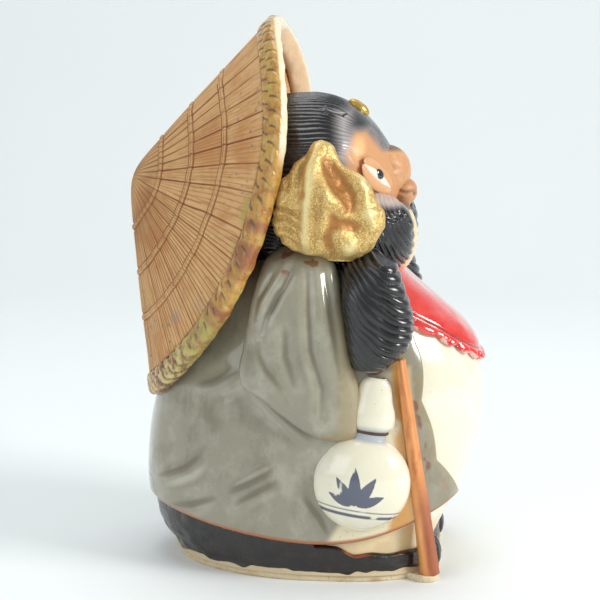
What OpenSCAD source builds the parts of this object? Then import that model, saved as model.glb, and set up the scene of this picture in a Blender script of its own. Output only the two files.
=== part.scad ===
// Glazed stoneware tanuki figure with a straw hat on its back, pieced together from cast and pressed clay.
// It stands on the floor plane and faces -Y, so its own right side is at -X. Sizes are millimetres.

/* [Body casting] */
// Height of the bare clay rim that the figure stands on
foot_h = 3; // [2:0.5:5]
// Half width of the body at the rim
base_half_w = 50.5; // [47:0.5:54]
// Reach of the body in front of its middle at the rim
base_front = 52; // [49:1:55]
// Reach of the body behind its middle at the rim
base_back = 68; // [64:1:72]
// Height where the fur bulges most at the back
hip_z = 14; // [12:1:17]
// Reach of the hips behind the middle
hip_back = 75.5; // [72:0.5:79]
// Height of the fullest part of the seat
seat_z = 42; // [38:1:46]
// How much wider the seat is on each side than the body at the rim
seat_swell = 1; // [0:0.5:2]
// Reach of the body in front of its middle at the seat
seat_front = 66.5; // [62:0.5:70]
// Reach of the seat behind the middle
seat_back = 79; // [75:0.5:82]
// Height of the fullest part of the belly
belly_z = 74; // [70:1:78]
// Half width of the belly
belly_half_w = 50; // [47:0.5:53]
// Reach of the belly in front of the middle
belly_front = 74; // [70:0.5:77]
// Reach of the back behind the middle at the belly
belly_back = 75; // [71:0.5:78]
// Height of the chest
chest_z = 106; // [102:1:110]
// Half width of the chest
chest_half_w = 46; // [43:0.5:49]
// Reach of the chest in front of the middle
chest_front = 65.5; // [62:0.5:69]
// Reach of the back behind the middle at the chest
chest_back = 65; // [61:0.5:68]
// Height of the shoulders
shoulder_z = 133; // [130:1:137]
// Half width of the shoulders
shoulder_half_w = 37; // [34:0.5:40]
// Reach of the throat in front of the middle
shoulder_front = 36; // [33:0.5:39]
// Reach of the shoulders behind the middle
shoulder_back = 52; // [48:0.5:55]
// Height of the top of the neck
neck_z = 150; // [147:1:153]
// Radius of the neck
neck_r = 20; // [18:0.5:22]
// Thickness of the clay wall
wall = 5; // [4:0.5:7]

/* [Fur skirt and robe] */
// Thickness of the fur band above the rim
fur_t = 2.5; // [2:0.5:4]
// Thickness of the robe
robe_t = 5; // [4:0.5:6.5]
// How far the robe's front corners flare out
flare = 3; // [2:0.5:5]
// Height of the robe's hem at the sides
hem_side_z = 17; // [15:0.5:20]
// Height of the robe's hem at the back
hem_back_z = 28; // [25:0.5:32]
// Height of the robe's front corners
hem_corner_z = 37; // [34:0.5:40]
// Half width of the gap between the robe's front corners
corner_gap = 31; // [27:0.5:35]
// Half width of the gap in the robe at the belly
belly_gap = 45; // [41:0.5:47]

/* [Bib] */
// Thickness of the bib
bib_t = 3; // [2:0.5:4]
// Height of the middle of the bib's round outline
bib_z = 135; // [132:0.5:138]
// Radius of the bib's outline with its ruffle
bib_r = 42; // [38:0.5:44]
// Width of the ruffle
ruffle_w = 4.5; // [3:0.5:6]
// Number of scallops in the ruffle
scallops = 17; // [13:2:23]

/* [Head] */
// Height of the middle of the skull
skull_z = 172; // [169:0.5:175]
// Half width of the skull
skull_half_w = 41.5; // [39:0.5:43]
// Height of the crown above the middle of the skull
skull_up = 43.5; // [40:0.5:46]
// Reach of the forehead in front of the middle of the skull
skull_front = 38.5; // [36:0.5:41]
// Radius of the muzzle's round top
snout_r = 11.5; // [10:0.5:12.5]
// Length of an eye
eye_l = 24; // [20:0.5:26]
// Height of an eye's opening
eye_h = 10.5; // [9:0.5:12]
// Radius of a pupil
pupil_r = 3.6; // [3:0.2:4.4]
// Length of an ear
ear_l = 16; // [14:0.5:18]
// Length of the bead on the forehead
bead_l = 11; // [9:0.5:13]
// Thickness of the head's wall
head_wall = 6; // [5:0.5:8]

/* [Hat] */
// Height of the hat from the top of its rim to the bottom
hat_h = 185; // [180:1:190]
// Width of the hat from side to side
hat_w = 130; // [126:1:136]
// How far the hat's point lies above the middle of its rim
hat_rise = 1.5; // [0:0.5:3]
// Depth of the hat's cone at the top and bottom of its rim
hat_depth = 44; // [40:1:48]
// How much further forward the rim reaches at its sides
hat_wrap = 28.5; // [25:0.5:32]
// Squareness of the upper half of the hat's outline
hat_square = 2.6; // [2:0.1:3]
// Slope of the hat's axis below level, in degrees
hat_lean = 18.5; // [17:0.5:20]
// Height at which the hat's lower rim leans on the robe
hat_seat_z = 74.5; // [71:0.5:78]
// How deep the hat's lower rim is pressed into the robe
hat_press = 3; // [1:0.5:4]
// Thickness of the hat
hat_t = 5; // [4:0.5:6]
// Thickness of the hat's inner face
lining_t = 3.5; // [3:0.5:5]
// Depth of the hat's inner face at its middle
dish_depth = 34; // [31:1:37]
// Width of the bound rim
rim_w = 12; // [10:0.5:14]
// Thickness of the bound rim
rim_t = 8; // [6.5:0.5:9]
// Height of the raised rings
ring_h = 0.9; // [0.5:0.1:1.4]
// Height of the straw ribs
rib_h = 0.5; // [0.2:0.1:0.8]

/* [Sleeves, arms and feet] */
// Height of the sleeves' lower tips
sleeve_tip_z = 64; // [60:1:68]
// Height of the sleeves' tops
sleeve_top_z = 151; // [148:1:154]
// Width of a sleeve from front to back at its hanging edge
sleeve_w = 52; // [48:1:56]
// Distance of a sleeve's middle from the figure's middle
sleeve_x = 53; // [51:0.5:55]
// Height of the paws' lower ends
paw_z = 94; // [91:1:97]
// Height of the arms' tops
arm_top_z = 150; // [147:1:153]
// Width of an arm from front to back
arm_w = 31; // [28:1:34]
// Distance of an arm's middle from the figure's middle
arm_x = 54.5; // [52:0.5:56]
// Width of a foot
foot_w = 25; // [22:1:28]
// Height of a foot
foot_top_z = 18; // [16:0.5:20]
// Distance of a foot's middle from the figure's middle
foot_x = 25; // [23:0.5:27]
// Length of the tail
tail_l = 32; // [28:1:36]

/* [Things carried] */
// Diameter of the sake bottle
bottle_d = 44; // [40:1:47]
// Depth of the bottle from its front to its back
bottle_depth = 27; // [24:1:30]
// Height of the middle of the bottle's belly
bottle_z = 46; // [44:0.5:48]
// Diameter of the bottle's waist
waist_d = 16; // [13:0.5:18]
// Length of the bottle's neck above the waist
bottle_neck_l = 24; // [21:1:26]
// Diameter of the bulb in the bottle's neck
bulb_d = 21; // [18:0.5:23]
// Diameter of the cord round the waist
cord_d = 1.8; // [1.4:0.2:2.4]
// Radius of the staff at the floor
staff_r = 5.2; // [4.4:0.2:5.8]
// Radius of the staff at the paw
staff_tip_r = 2.8; // [2.2:0.2:3.6]
// Height of the bundle
bundle_h = 52; // [46:1:56]
// Width of the bundle from front to back
bundle_w = 45; // [40:1:48]
// Thickness of the bundle
bundle_t = 26; // [23:1:28]
// Height of the account book
book_h = 36; // [32:1:40]
// Width of the account book
book_w = 25; // [22:1:28]
// Thickness of the account book
book_t = 8; // [6:0.5:10]

/* [Hidden] */
RIGHT = -1;
LEFT = 1;
body_sides = 32;
limb_sides = 16;
face_sides = 16;
hat_sides = 42;
far = 200;

// Plane of the body's greatest width, set so that the belly and the hat reach equally far from the origin
middle_y = -9;
seat_half_w = base_half_w + seat_swell;
// Columns: height, half width, reach in front, reach behind, squareness of the front
BODY = [
    [foot_h, base_half_w, base_front, base_back, 3.2],
    [hip_z, seat_half_w, base_front + 0.5, hip_back, 3],
    [seat_z, seat_half_w, seat_front, seat_back, 2.3],
    [belly_z, belly_half_w, belly_front, belly_back, 2.2],
    [chest_z, chest_half_w, chest_front, chest_back, 2.2],
    [shoulder_z, shoulder_half_w, shoulder_front, shoulder_back, 2.1],
    [neck_z, neck_r, neck_r, neck_r, 2]];

// Smooth curve through the rows of a table: the value of one column at height z
function row_of(t, z, i = 0) = i >= len(t) - 2 || z < t[i + 1][0] ? i : row_of(t, z, i + 1);
function slope(t, c, i) = i <= 0 || i >= len(t) - 1 ? 0
    : (t[i + 1][c] - t[i - 1][c]) / (t[i + 1][0] - t[i - 1][0]);
function smooth(t, c, z) = let (i = row_of(t, z), h = t[i + 1][0] - t[i][0], u = (z - t[i][0]) / h)
    (2 * u ^ 3 - 3 * u ^ 2 + 1) * t[i][c] + (u ^ 3 - 2 * u ^ 2 + u) * h * slope(t, c, i)
    + (3 * u ^ 2 - 2 * u ^ 3) * t[i + 1][c] + (u ^ 3 - u ^ 2) * h * slope(t, c, i + 1);
function steps(from, to, n) = [for (i = [0:n]) from + (to - from) * i / n];
function turns(n) = [for (j = [0:n - 1]) 360 * j / n];

// Point of a squared oval at angle a from the front: half width w, reach f in front and b behind
function oval(a, w, f, b, n = 2) = let (s = sin(a), k = cos(a))
    k > 0 ? [-w * sign(s) * abs(s) ^ (2 / n), -f * k ^ (2 / n)] : [-w * s, -b * k];

// Skin over rings of points that run clockwise seen from above, listed from bottom to top.
// A ring-shaped skin joins its last ring to its first; any other is closed by a fan at each end.
function middle_of(ring) = [for (c = [0:2]) let (s = [for (p = ring) p[c]])
    s * [for (p = ring) 1] / len(ring)];
module skin(rings, looped = false) {
    m = len(rings);
    n = len(rings[0]);
    points = [for (r = rings) each r, middle_of(rings[0]), middle_of(rings[m - 1])];
    sides = [for (i = [0:looped ? m - 1 : m - 2], j = [0:n - 1]) let (k = (j + 1) % n, u = (i + 1) % m)
        each u == 0 ? [[i * n + j, i * n + k, j], [i * n + k, k, j]]
        : [[i * n + j, i * n + k, u * n + k], [i * n + j, u * n + k, u * n + j]]];
    ends = [for (j = [0:n - 1]) let (k = (j + 1) % n)
        each [[m * n, k, j], [m * n + 1, (m - 1) * n + j, (m - 1) * n + k]]];
    polyhedron(looped ? [for (r = rings) each r] : points, looped ? sides : [each sides, each ends]);
}

// Clay pressed against its neighbours: the first shape less all the others, as one closed mesh
module pressed() resize([0, 0, 0]) difference() { children(0); for (i = [1:1:$children - 1]) children(i); }

// Turns a piece made for the right side over to the left
module on_side(side) { if (side == LEFT) mirror([1, 0, 0]) children(); else children(); }

// Egg about a point, with its own reach to the side, front, back, top and bottom
module egg(c, side, front, back, top, bottom, n = face_sides) {
    rings = [for (e = steps(-90 + 180 / n, 90 - 180 / n, n / 2 - 1))
        [for (a = turns(n)) let (p = oval(a, side * cos(e), front * cos(e), back * cos(e)))
            c + [p.x, p.y, (e > 0 ? top : bottom) * sin(e) / cos(180 / n)]]];
    skin(rings);
}

// Limb through rows of height, x, y, half thickness and half width
module limb(rows, count, square = 2.4, n = limb_sides) {
    z0 = rows[0][0];
    z1 = rows[len(rows) - 1][0];
    skin([for (z = steps(z0, z1, count)) [for (a = turns(n))
        let (w = smooth(rows, 4, z), p = oval(a, smooth(rows, 3, z), w, w, square))
        [smooth(rows, 1, z) + p.x, smooth(rows, 2, z) + p.y, z]]]);
}

// Puts a shape at a point of a surface, its z axis along the outward normal, turned by roll about it
module facing(p, normal, roll = 0) translate(p)
    rotate([0, acos(normal.z / norm(normal)), atan2(normal.y, normal.x)]) rotate([0, 0, roll]) children();

// A slab right across the figure, above or below a line in the YZ plane
module across(outline) rotate([90, 0, 90]) linear_extrude(far, center = true) polygon(outline);
// A prism through the front of the figure with an outline in the XZ plane
module through_front(outline) translate([0, middle_y - 4, 0]) rotate([90, 0, 0])
    linear_extrude(far) polygon(outline);

// Body surface
function body_point(z, a, out = 0) = let (p = oval(a, smooth(BODY, 1, z) + out, smooth(BODY, 2, z) + out,
    smooth(BODY, 3, z) + out, smooth(BODY, 4, z))) [p.x, middle_y + p.y, z];
function body_rings(from, to, n, out = 0) = [for (z = steps(from, to, n)) [for (a = turns(body_sides))
    body_point(z, a, out)]];
module body_form() skin(body_rings(foot_h, neck_z, 10));

// Lower edge of the robe and upper edge of the fur, as heights over y
hem_reach = seat_back + robe_t;
corner_reach = seat_front - 4;
function hem_height(y) = y < middle_y
    ? hem_side_z + (hem_corner_z - hem_side_z) * ((middle_y - y) / corner_reach) ^ 2.2
    : hem_side_z + (hem_back_z - hem_side_z) * ((y - middle_y) / hem_reach) ^ 1.5;
function fur_height(y) = y < middle_y ? hem_side_z : hem_height(y);
hem_ys = steps(middle_y - hem_reach, middle_y + hem_reach + flare, 20);

// Bare clay rim
rim_step = 1;
rim_pad = 0.5;
foot_y = middle_y - base_front + foot_w / 2 - 4;
staff_foot = [-44, middle_y - base_front + 2.5, foot_h];
function base_outline(out, n) = [for (a = turns(body_sides)) oval(a, base_half_w + out, base_front + out,
    base_back + out, n)];
function foot_outline(out) = [for (a = turns(limb_sides))
    oval(a, foot_w / 2 + out, foot_w / 2 + out, foot_w / 2)];
function staff_pad() = let (r = staff_r + rim_pad, p = [staff_foot.x, staff_foot.y], q = [0, middle_y],
    edge = base_outline(fur_t - rim_step, BODY[0][4]))
    [p + r * [-cos(20), -sin(20)], p + r * [sin(20), -cos(20)], q + edge[2], q, q + edge[7]];
module foot_rim() color("wheat") difference() {
    union() {
        translate([0, middle_y, 0]) linear_extrude(foot_h)
            polygon(base_outline(fur_t - rim_step, BODY[0][4]));
        for (side = [RIGHT, LEFT]) translate([side * foot_x, foot_y, 0]) linear_extrude(foot_h)
            polygon(foot_outline(-rim_step));
        translate([staff_foot.x, staff_foot.y, 0]) cylinder(foot_h, r = staff_r + rim_pad, $fn = 32);
        linear_extrude(foot_h) polygon(staff_pad());
    }
    translate([0, middle_y, -1]) linear_extrude(foot_h + 2) polygon(base_outline(-wall, BODY[0][4]));
}

// Hollow body, open below and at the neck
module torso() color("ivory") skin([each body_rings(foot_h, neck_z, 10),
    each body_rings(neck_z, foot_h, 5, -wall)], looped = true);

// Dark fur round the base
module fur_form() difference() {
    skin(body_rings(foot_h, hem_back_z + 6, 5, fur_t));
    across([for (y = hem_ys) [y, fur_height(y)], [hem_ys[20], far], [hem_ys[0], far]]);
}
module fur_skirt() color([0.2, 0.16, 0.16]) pressed() { fur_form(); body_form(); }

// Tail, laid round the left of the back under the robe's hem
tail_at = body_point(foot_h + 10, 218, fur_t);
module tail_form() facing(tail_at, [tail_at.x, tail_at.y - middle_y, 0], -14) scale([1, 1, 0.6]) hull() {
    translate([0, 8 - tail_l / 2, 0]) sphere(8, $fn = 14);
    translate([0, tail_l / 2 - 4, 0]) sphere(4, $fn = 10);
}
module tail() color([0.2, 0.16, 0.16]) pressed() { tail_form(); body_form(); fur_form(); robe_form(); }

// Feet
module foot_form(side) on_side(side) intersection() {
    egg([-foot_x, foot_y, foot_h + 4], foot_w / 2, foot_w / 2, foot_w / 2, foot_top_z - foot_h - 4, 12);
    translate([-far / 2, -far / 2, foot_h]) cube([far, far, far]);
}
module foot(side) color([0.2, 0.16, 0.16]) pressed() {
    foot_form(side);
    body_form();
    fur_form();
    staff_rod();
}
module right_foot() foot(RIGHT);
module left_foot() foot(LEFT);

// Robe, open in front from the corners of its hem up to the bib
function flare_at(z, a) = let (b = min(a, 360 - a)) flare * exp(-((b - 38) / 15) ^ 2)
    * max(0, 1 - abs(z - hem_corner_z) / (chest_z - hem_corner_z));
robe_gap = [
    [0, -far],
    [corner_gap - 4, -far],
    [corner_gap - 4, hem_corner_z - 8],
    [corner_gap, hem_corner_z],
    [belly_gap - 1, hem_corner_z + 18],
    [belly_gap + 1, belly_z + 8],
    [belly_gap - 4, chest_z],
    [belly_gap - 9, bib_z - 10]];

// Main folds of the robe, as lines over y and height in the side view, pressed in on both sides
FOLDS = [
    [[67, 39.5], [58, 43.5], [50, 47.5], [41, 56]],
    [[31, 38.5], [20, 44.5], [7.5, 52]],
    [[24, 95], [8, 78.5], [-9, 64.5]]];
fold_r = 2.6;
fold_sink = 1.6;
function side_x(y, z) = let (r = y < middle_y ? smooth(BODY, 2, z) : smooth(BODY, 3, z))
    (smooth(BODY, 1, z) + robe_t) * sqrt(1 - ((y - middle_y) / (r + robe_t)) ^ 2);
module fold_end(p) translate([-side_x(p.x, p.y) + fold_sink - fold_r, p.x, p.y]) sphere(fold_r, $fn = 6);
module folds_form() for (side = [RIGHT, LEFT], f = FOLDS, i = [0:len(f) - 2]) on_side(side) hull() {
    fold_end(f[i]);
    fold_end(f[i + 1]);
}
module robe_form() difference() {
    skin([for (z = steps(hem_side_z - 3, neck_z, 9)) [for (a = turns(body_sides))
        body_point(z, a, robe_t + flare_at(z, a))]]);
    across([[hem_ys[0], -far], [hem_ys[20], -far], for (i = [20:-1:0]) [hem_ys[i], hem_height(hem_ys[i])]]);
    through_front([each robe_gap, each [for (i = [7:-1:1]) [-robe_gap[i].x, robe_gap[i].y]]]);
    through_front(bib_outline(bib_r, scallop_h));
}
module robe() color([0.65, 0.65, 0.6]) pressed() {
    robe_form();
    folds_form();
    body_form();
    head_form();
    hat_form();
    tail_form();
}

// Bib and its scalloped ruffle, wrapped over the chest
scallop_h = 1.3;
function bib_outline(r, wave) = let (n = wave > 0 ? 4 * scallops : 40) [for (i = [0:n - 1])
    let (b = 360 * i / n, w = r - wave * (1 - abs(cos(scallops * b)))) [w * sin(b), bib_z - w * cos(b)]];
module chest(out) skin(body_rings(belly_z, neck_z, 6, out));
module bib_form(r, out, wave = 0) intersection() { chest(out); through_front(bib_outline(r, wave)); }
module bib() color([0.85, 0.15, 0.13]) pressed() {
    bib_form(bib_r - ruffle_w, bib_t);
    body_form();
    head_form();
}
module bib_ruffle() color([0.8, 0.2, 0.18]) pressed() {
    bib_form(bib_r, bib_t + 0.8, scallop_h);
    through_front(bib_outline(bib_r - ruffle_w, 0));
    body_form();
    head_form();
}

// Skull, hollow and open to the neck
skull_y = middle_y + 6;
skull_back = 57.5;
skull = [0, skull_y, skull_z];
module head_form() egg(skull, skull_half_w, skull_front, skull_back, skull_up, skull_up, 22);
module head() color([0.15, 0.15, 0.16]) pressed() {
    head_form();
    egg(skull, skull_half_w - head_wall, skull_front - head_wall, skull_back - 1.5 * head_wall,
        skull_up - head_wall, skull_up - head_wall, 12);
    body_form();
    hat_form();
}
// Point of the skull at angle a from the front and elevation e, and the normal there
function skull_point(a, e) = let (r = abs(a) < 90 ? skull_front : skull_back)
    skull + [-skull_half_w * sin(a) * cos(e), -r * cos(a) * cos(e), skull_up * sin(e)];
function skull_normal(p) = let (d = p - skull, r = d.y < 0 ? skull_front : skull_back)
    [d.x / skull_half_w ^ 2, d.y / r ^ 2, d.z / skull_up ^ 2];

// Furred jowls that hang round the muzzle
jowl_x = 21.8;
module jowl_form(side) on_side(side) egg([-jowl_x, skull_y - 24, skull_z - 21.5], 20.5, 24, 26, 19, 16.5);
module jowl(side) color([0.15, 0.15, 0.16]) pressed() {
    jowl_form(side);
    head_form();
    body_form();
    robe_form();
    bib_form(bib_r, bib_t + 0.8);
}
module right_jowl() jowl(RIGHT);
module left_jowl() jowl(LEFT);

// Ears, shallow cups laid back in the fur
ear_at = skull_point(56, 56);
module ear(side) color([0.15, 0.15, 0.16]) on_side(side) pressed() {
    facing(ear_at, skull_normal(ear_at), 70) scale([ear_l / 2, ear_l * 0.38, 4]) sphere(1, $fn = 14);
    facing(ear_at, skull_normal(ear_at), 70) translate([0, 1, 4]) scale([ear_l * 0.3, ear_l * 0.2, 2.4])
        sphere(1, $fn = 10);
    head_form();
}
module right_ear() ear(RIGHT);
module left_ear() ear(LEFT);

// Eyes: almond lids' opening with a round pupil
eye_at = skull_point(36, 9.5);
eye_roll = 56;
module almond(l, h, t) {
    ball = (l ^ 2 + h ^ 2) / (4 * h);
    resize([l, h, t]) intersection_for (k = [-1, 1])
        translate([0, k * (ball - h / 2), 0]) sphere(ball, $fn = 24);
}
module eye_form() facing(eye_at, skull_normal(eye_at), eye_roll) almond(eye_l, eye_h, 5);
module eye(side) color("white") on_side(side) pressed() { eye_form(); head_form(); snout_form(); }
module pupil(side) color("black") on_side(side) pressed() {
    facing(eye_at, skull_normal(eye_at), eye_roll) scale([1.25, 1, 0.9]) sphere(pupil_r, $fn = 14);
    eye_form();
    head_form();
}
module right_eye() eye(RIGHT);
module left_eye() eye(LEFT);
module right_pupil() pupil(RIGHT);
module left_pupil() pupil(LEFT);

// Muzzle, nose, lip and throat
snout_at = skull + [0, snout_r - skull_front - 5.5, 8.5];
nose_at = snout_at + [0, -snout_r + 1.5, -9];
lip_at = nose_at + [0, 2.5, -8.5];
module snout_form() egg(snout_at, snout_r, snout_r, snout_r, snout_r, snout_r);
module nose_form() egg(nose_at, 6.5, 5, 5, 5, 5.5, 12);
module lip_form() egg(lip_at, 9, 7, 8, 5, 5, 12);
module snout() color([0.8, 0.55, 0.38]) pressed() { snout_form(); head_form(); }
module nose() color([0.6, 0.4, 0.32]) pressed() { nose_form(); snout_form(); head_form(); }
module upper_lip() color([0.75, 0.52, 0.4]) pressed() {
    lip_form();
    snout_form();
    nose_form();
    head_form();
    for (side = [RIGHT, LEFT]) jowl_form(side);
}
module chin() color([0.93, 0.89, 0.75]) pressed() {
    egg([0, skull_y - 36, skull_z - 22], 9, 13, 13, 17, 18, 12);
    head_form();
    body_form();
    lip_form();
    for (side = [RIGHT, LEFT]) jowl_form(side);
    bib_form(bib_r, bib_t, 0);
}
bead_at = skull_point(0, 57);
module forehead_bead() color("gold") pressed() {
    facing(bead_at, skull_normal(bead_at)) scale([bead_l / 2, bead_l * 0.3, bead_l * 0.26])
        sphere(1, $fn = 14);
    head_form();
}

// Hat. In its own frame the point is at the origin, the rim lies below it and -Y runs up the figure's back.
hat_up = hat_h / 2 - hat_rise;
hat_down = hat_h / 2 + hat_rise;
apex_z = hat_seat_z + hat_depth * sin(hat_lean) + hat_down * cos(hat_lean);
apex_y = middle_y + smooth(BODY, 3, hat_seat_z) + robe_t + hat_t - hat_press
    + hat_depth * cos(hat_lean) - hat_down * sin(hat_lean);
blunt = 4;
module on_back() translate([0, apex_y, apex_z]) rotate([hat_lean - 90, 0, 0]) children();
function rim_at(a) = let (p = oval(a, hat_w / 2, hat_up, hat_down, hat_square))
    [p.x, p.y, -hat_depth - hat_wrap * sin(a) ^ 2];
function across_of(a) = let (r = rim_at(a), q = norm([r.x, r.y]))
    [-r.z * r.x / q, -r.z * r.y / q, q] / norm(r);
function cone_at(a, s, lift = 0) = let (r = rim_at(a)) [s * r.x, s * r.y, -sqrt((s * r.z) ^ 2 + blunt ^ 2)]
    + lift * across_of(a);
function cone_ring(s, lift, rib = 0) = [for (j = [0:hat_sides - 1])
    cone_at(360 * j / hat_sides, s, lift + rib * (j % 2))];
function dish_ring(s, lift) = [for (a = turns(hat_sides)) let (r = rim_at(a))
    [s * r.x, s * r.y, -dish_depth - (-r.z - dish_depth) * s + lift]];
ring_shares = [0.24, 0.45, 0.66];
ring_half = 0.012;
crown_end = 0.89;
lining_end = 0.84;
rim_bulge = (rim_t - hat_t) / 2;
dish_rings = [for (s = [0.06, 0.35, 0.65]) dish_ring(s, 0)];
lining_back = [for (s = [0.65, 0.35, 0.06]) dish_ring(s, lining_t)];
// Section of the rim: share of its width beyond the crown, and side, from -1 inside to 1 outside
rim_section = [[0.18, -1], [0.82, -1], [1, -0.4], [1, 0.4], [0.82, 1], [0.18, 1]];
rim_share = 0.11 * rim_w / 12;
rim_rings = [cone_ring(crown_end, -hat_t),
    for (k = rim_section)
        cone_ring(crown_end + k[0] * rim_share, -hat_t / 2 + k[1] * (hat_t / 2 + rim_bulge)),
    cone_ring(crown_end, 0)];
module crown_form() skin([for (s = [0.05, 0.5, lining_end, crown_end]) cone_ring(s, -hat_t),
    cone_ring(crown_end, 0), cone_ring(crown_end - 0.02, 0, rib_h),
    for (i = [2:-1:0]) each [for (k = [1, 0, -1])
        cone_ring(ring_shares[i] + k * ring_half, (1 - abs(k)) * ring_h, abs(k) * rib_h)],
    for (s = [0.12, 0.04]) cone_ring(s, 0)]);
module lining_form() skin([each dish_rings, cone_ring(crown_end, -hat_t), cone_ring(lining_end, -hat_t),
    each lining_back]);
module hat_form() on_back() skin([each dish_rings, each rim_rings, for (s = [0.5, 0.04]) cone_ring(s, 0)]);
module hat_crown() color([0.77, 0.58, 0.38]) on_back() crown_form();
module hat_lining() color([0.87, 0.68, 0.55]) on_back() lining_form();
module hat_rim() color([0.8, 0.66, 0.35]) on_back() skin(rim_rings, looped = true);

// Sleeves that hang from the wrists
sleeve_y = middle_y + 8;
module sleeve_form(side) on_side(side) {
    h = sleeve_top_z - sleeve_tip_z;
    w = sleeve_w / 2;
    limb([
        [sleeve_tip_z, -sleeve_x + 1, sleeve_y - 18, 5, 8],
        [sleeve_tip_z + 0.08 * h, -sleeve_x, sleeve_y - 14, 8, 14],
        [sleeve_tip_z + 0.2 * h, -sleeve_x, sleeve_y - 7.5, 8.5, 0.8 * w],
        [sleeve_tip_z + 0.3 * h, -sleeve_x, sleeve_y - 1.5, 9, w],
        [sleeve_tip_z + 0.5 * h, -sleeve_x, sleeve_y, 9.5, 0.9 * w],
        [sleeve_tip_z + 0.74 * h, -sleeve_x + 3, sleeve_y - 0.5, 10.5, 0.75 * w],
        [sleeve_tip_z + 0.92 * h, -sleeve_x + 8, sleeve_y - 1, 10, 0.6 * w],
        [sleeve_top_z, -sleeve_x + 12, sleeve_y - 1, 5, 0.36 * w]], 11, 2.8);
}
module sleeve(side) color([0.62, 0.62, 0.57]) pressed() {
    sleeve_form(side);
    robe_form();
    body_form();
    head_form();
    jowl_form(side);
    hat_form();
    bib_form(bib_r, bib_t + 0.8);
}
module right_sleeve() sleeve(RIGHT);
module left_sleeve() sleeve(LEFT);

// Furred arms, bent so that the paws come together at the belly's sides
arm_y = middle_y - 28;
module arm_form(side) on_side(side) {
    h = arm_top_z - paw_z;
    w = arm_w / 2;
    limb([
        [paw_z, -arm_x + 3, arm_y + 1, 5, 0.55 * w],
        [paw_z + 0.07 * h, -arm_x + 1, arm_y, 8.5, 0.8 * w],
        [paw_z + 0.25 * h, -arm_x, arm_y - 0.5, 11, 0.94 * w],
        [paw_z + 0.46 * h, -arm_x, arm_y, 11.5, w],
        [paw_z + 0.7 * h, -arm_x + 2, arm_y + 2.5, 12, 0.9 * w],
        [paw_z + 0.88 * h, -arm_x + 6, arm_y + 4, 10.5, 0.76 * w],
        [arm_top_z, -arm_x + 10, arm_y + 5, 5, 0.4 * w]], 10);
}
module arm(side) color([0.12, 0.12, 0.13]) pressed() {
    arm_form(side);
    sleeve_form(side);
    robe_form();
    body_form();
    head_form();
    jowl_form(side);
    bib_form(bib_r, bib_t + 0.8);
}
module right_arm() arm(RIGHT);
module left_arm() arm(LEFT);

// Gathered cloth bundle on the right shoulder
bundle_z = sleeve_top_z - 6;
bundle_at = [-52.2, sleeve_y - 13.5, bundle_z];
pleats = 5;
// Columns: share of the bundle's height, x and y of the ring's middle, its half thickness and half width
bundle_rows = [
    [0, 0, -6, 3, 6],
    [0.08, 0, -3, 9, 15.5],
    [0.22, 0, 0, 12.5, 21.5],
    [0.4, 0, 0, 13, 22.5],
    [0.6, 0, 2.5, 12.5, 19.5],
    [0.78, 0, 5, 9.5, 13],
    [0.92, 0, 3.5, 6, 7],
    [1, 0, 3, 2, 2.5]];
pleat_share = 0.09;
function bundle_point(u, a) = let (w = smooth(bundle_rows, 4, u) * bundle_w / 45,
    p = oval(a, smooth(bundle_rows, 3, u) * bundle_t / 26, w, w),
    k = 1 + pleat_share * sin(pleats * a + 90 * u) * sin(180 * u))
    bundle_at + [smooth(bundle_rows, 1, u) + p.x * k, smooth(bundle_rows, 2, u) + p.y * k, u * bundle_h];
module bundle_form() skin([for (u = steps(0, 1, 9)) [for (a = turns(20)) bundle_point(u, a)]]);
module gold_bundle() color([0.8, 0.65, 0.3]) pressed() {
    bundle_form();
    sleeve_form(RIGHT);
    arm_form(RIGHT);
    head_form();
    jowl_form(RIGHT);
    hat_form();
    robe_form();
}

// Staff held under the right paw
staff_tip = [-53, middle_y - 36, paw_z + 8];
module staff_rod() {
    d = staff_tip - staff_foot;
    translate(staff_foot) rotate([0, acos(d.z / norm(d)), atan2(d.y, d.x)])
        translate([0, 0, -staff_r]) cylinder(norm(d) + staff_r, staff_r, staff_tip_r, $fn = 20);
}
module staff() color([0.76, 0.43, 0.27]) pressed() {
    intersection() { staff_rod(); translate([-far / 2, -far / 2, foot_h]) cube(far); }
    robe_form();
    body_form();
    fur_form();
    arm_form(RIGHT);
    sleeve_form(RIGHT);
}

// Sake bottle hung at the right side
bottle_at = [-51.5, middle_y - 20.5, bottle_z];
bottle_lean = 8;
belly_h = bottle_d / 2;
waist_h = belly_h + 2;
module on_hip() translate(bottle_at) rotate([bottle_lean, 0, 0])
    scale([bottle_depth / bottle_d, 1, 1]) children();
module bottle_body_form() on_hip() rotate_extrude($fn = 24) polygon([
    [0, -belly_h],
    for (e = [-75:15:45]) belly_h * [cos(e), sin(e)],
    [waist_d / 2, waist_h - 2],
    [waist_d / 2, waist_h],
    [0, waist_h]]);
module bottle_neck_form() on_hip() translate([0, 0, waist_h]) rotate_extrude($fn = 20) polygon([
    [0, 0],
    [waist_d / 2, 0],
    [bulb_d / 2 - 0.5, 3],
    [bulb_d / 2, 7],
    [bulb_d / 2 - 1, 12],
    [bulb_d / 2 - 3.5, bottle_neck_l - 6],
    [bulb_d / 2 - 4.5, bottle_neck_l - 1.5],
    [bulb_d / 2 - 6, bottle_neck_l],
    [0, bottle_neck_l]]);
module cord_form() on_hip() translate([0, 0, waist_h]) rotate_extrude($fn = 20) translate([waist_d / 2, 0])
    circle(d = cord_d, $fn = 6);
module hung() pressed() {
    children();
    robe_form();
    body_form();
    fur_form();
    sleeve_form(RIGHT);
    arm_form(RIGHT);
    staff_rod();
}
module bottle_body() color("ivory") hung() difference() { bottle_body_form(); cord_form(); }
module bottle_neck() color("ivory") hung() difference() { bottle_neck_form(); cord_form(); }
module bottle_cord() color("sienna") hung() cord_form();

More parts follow.
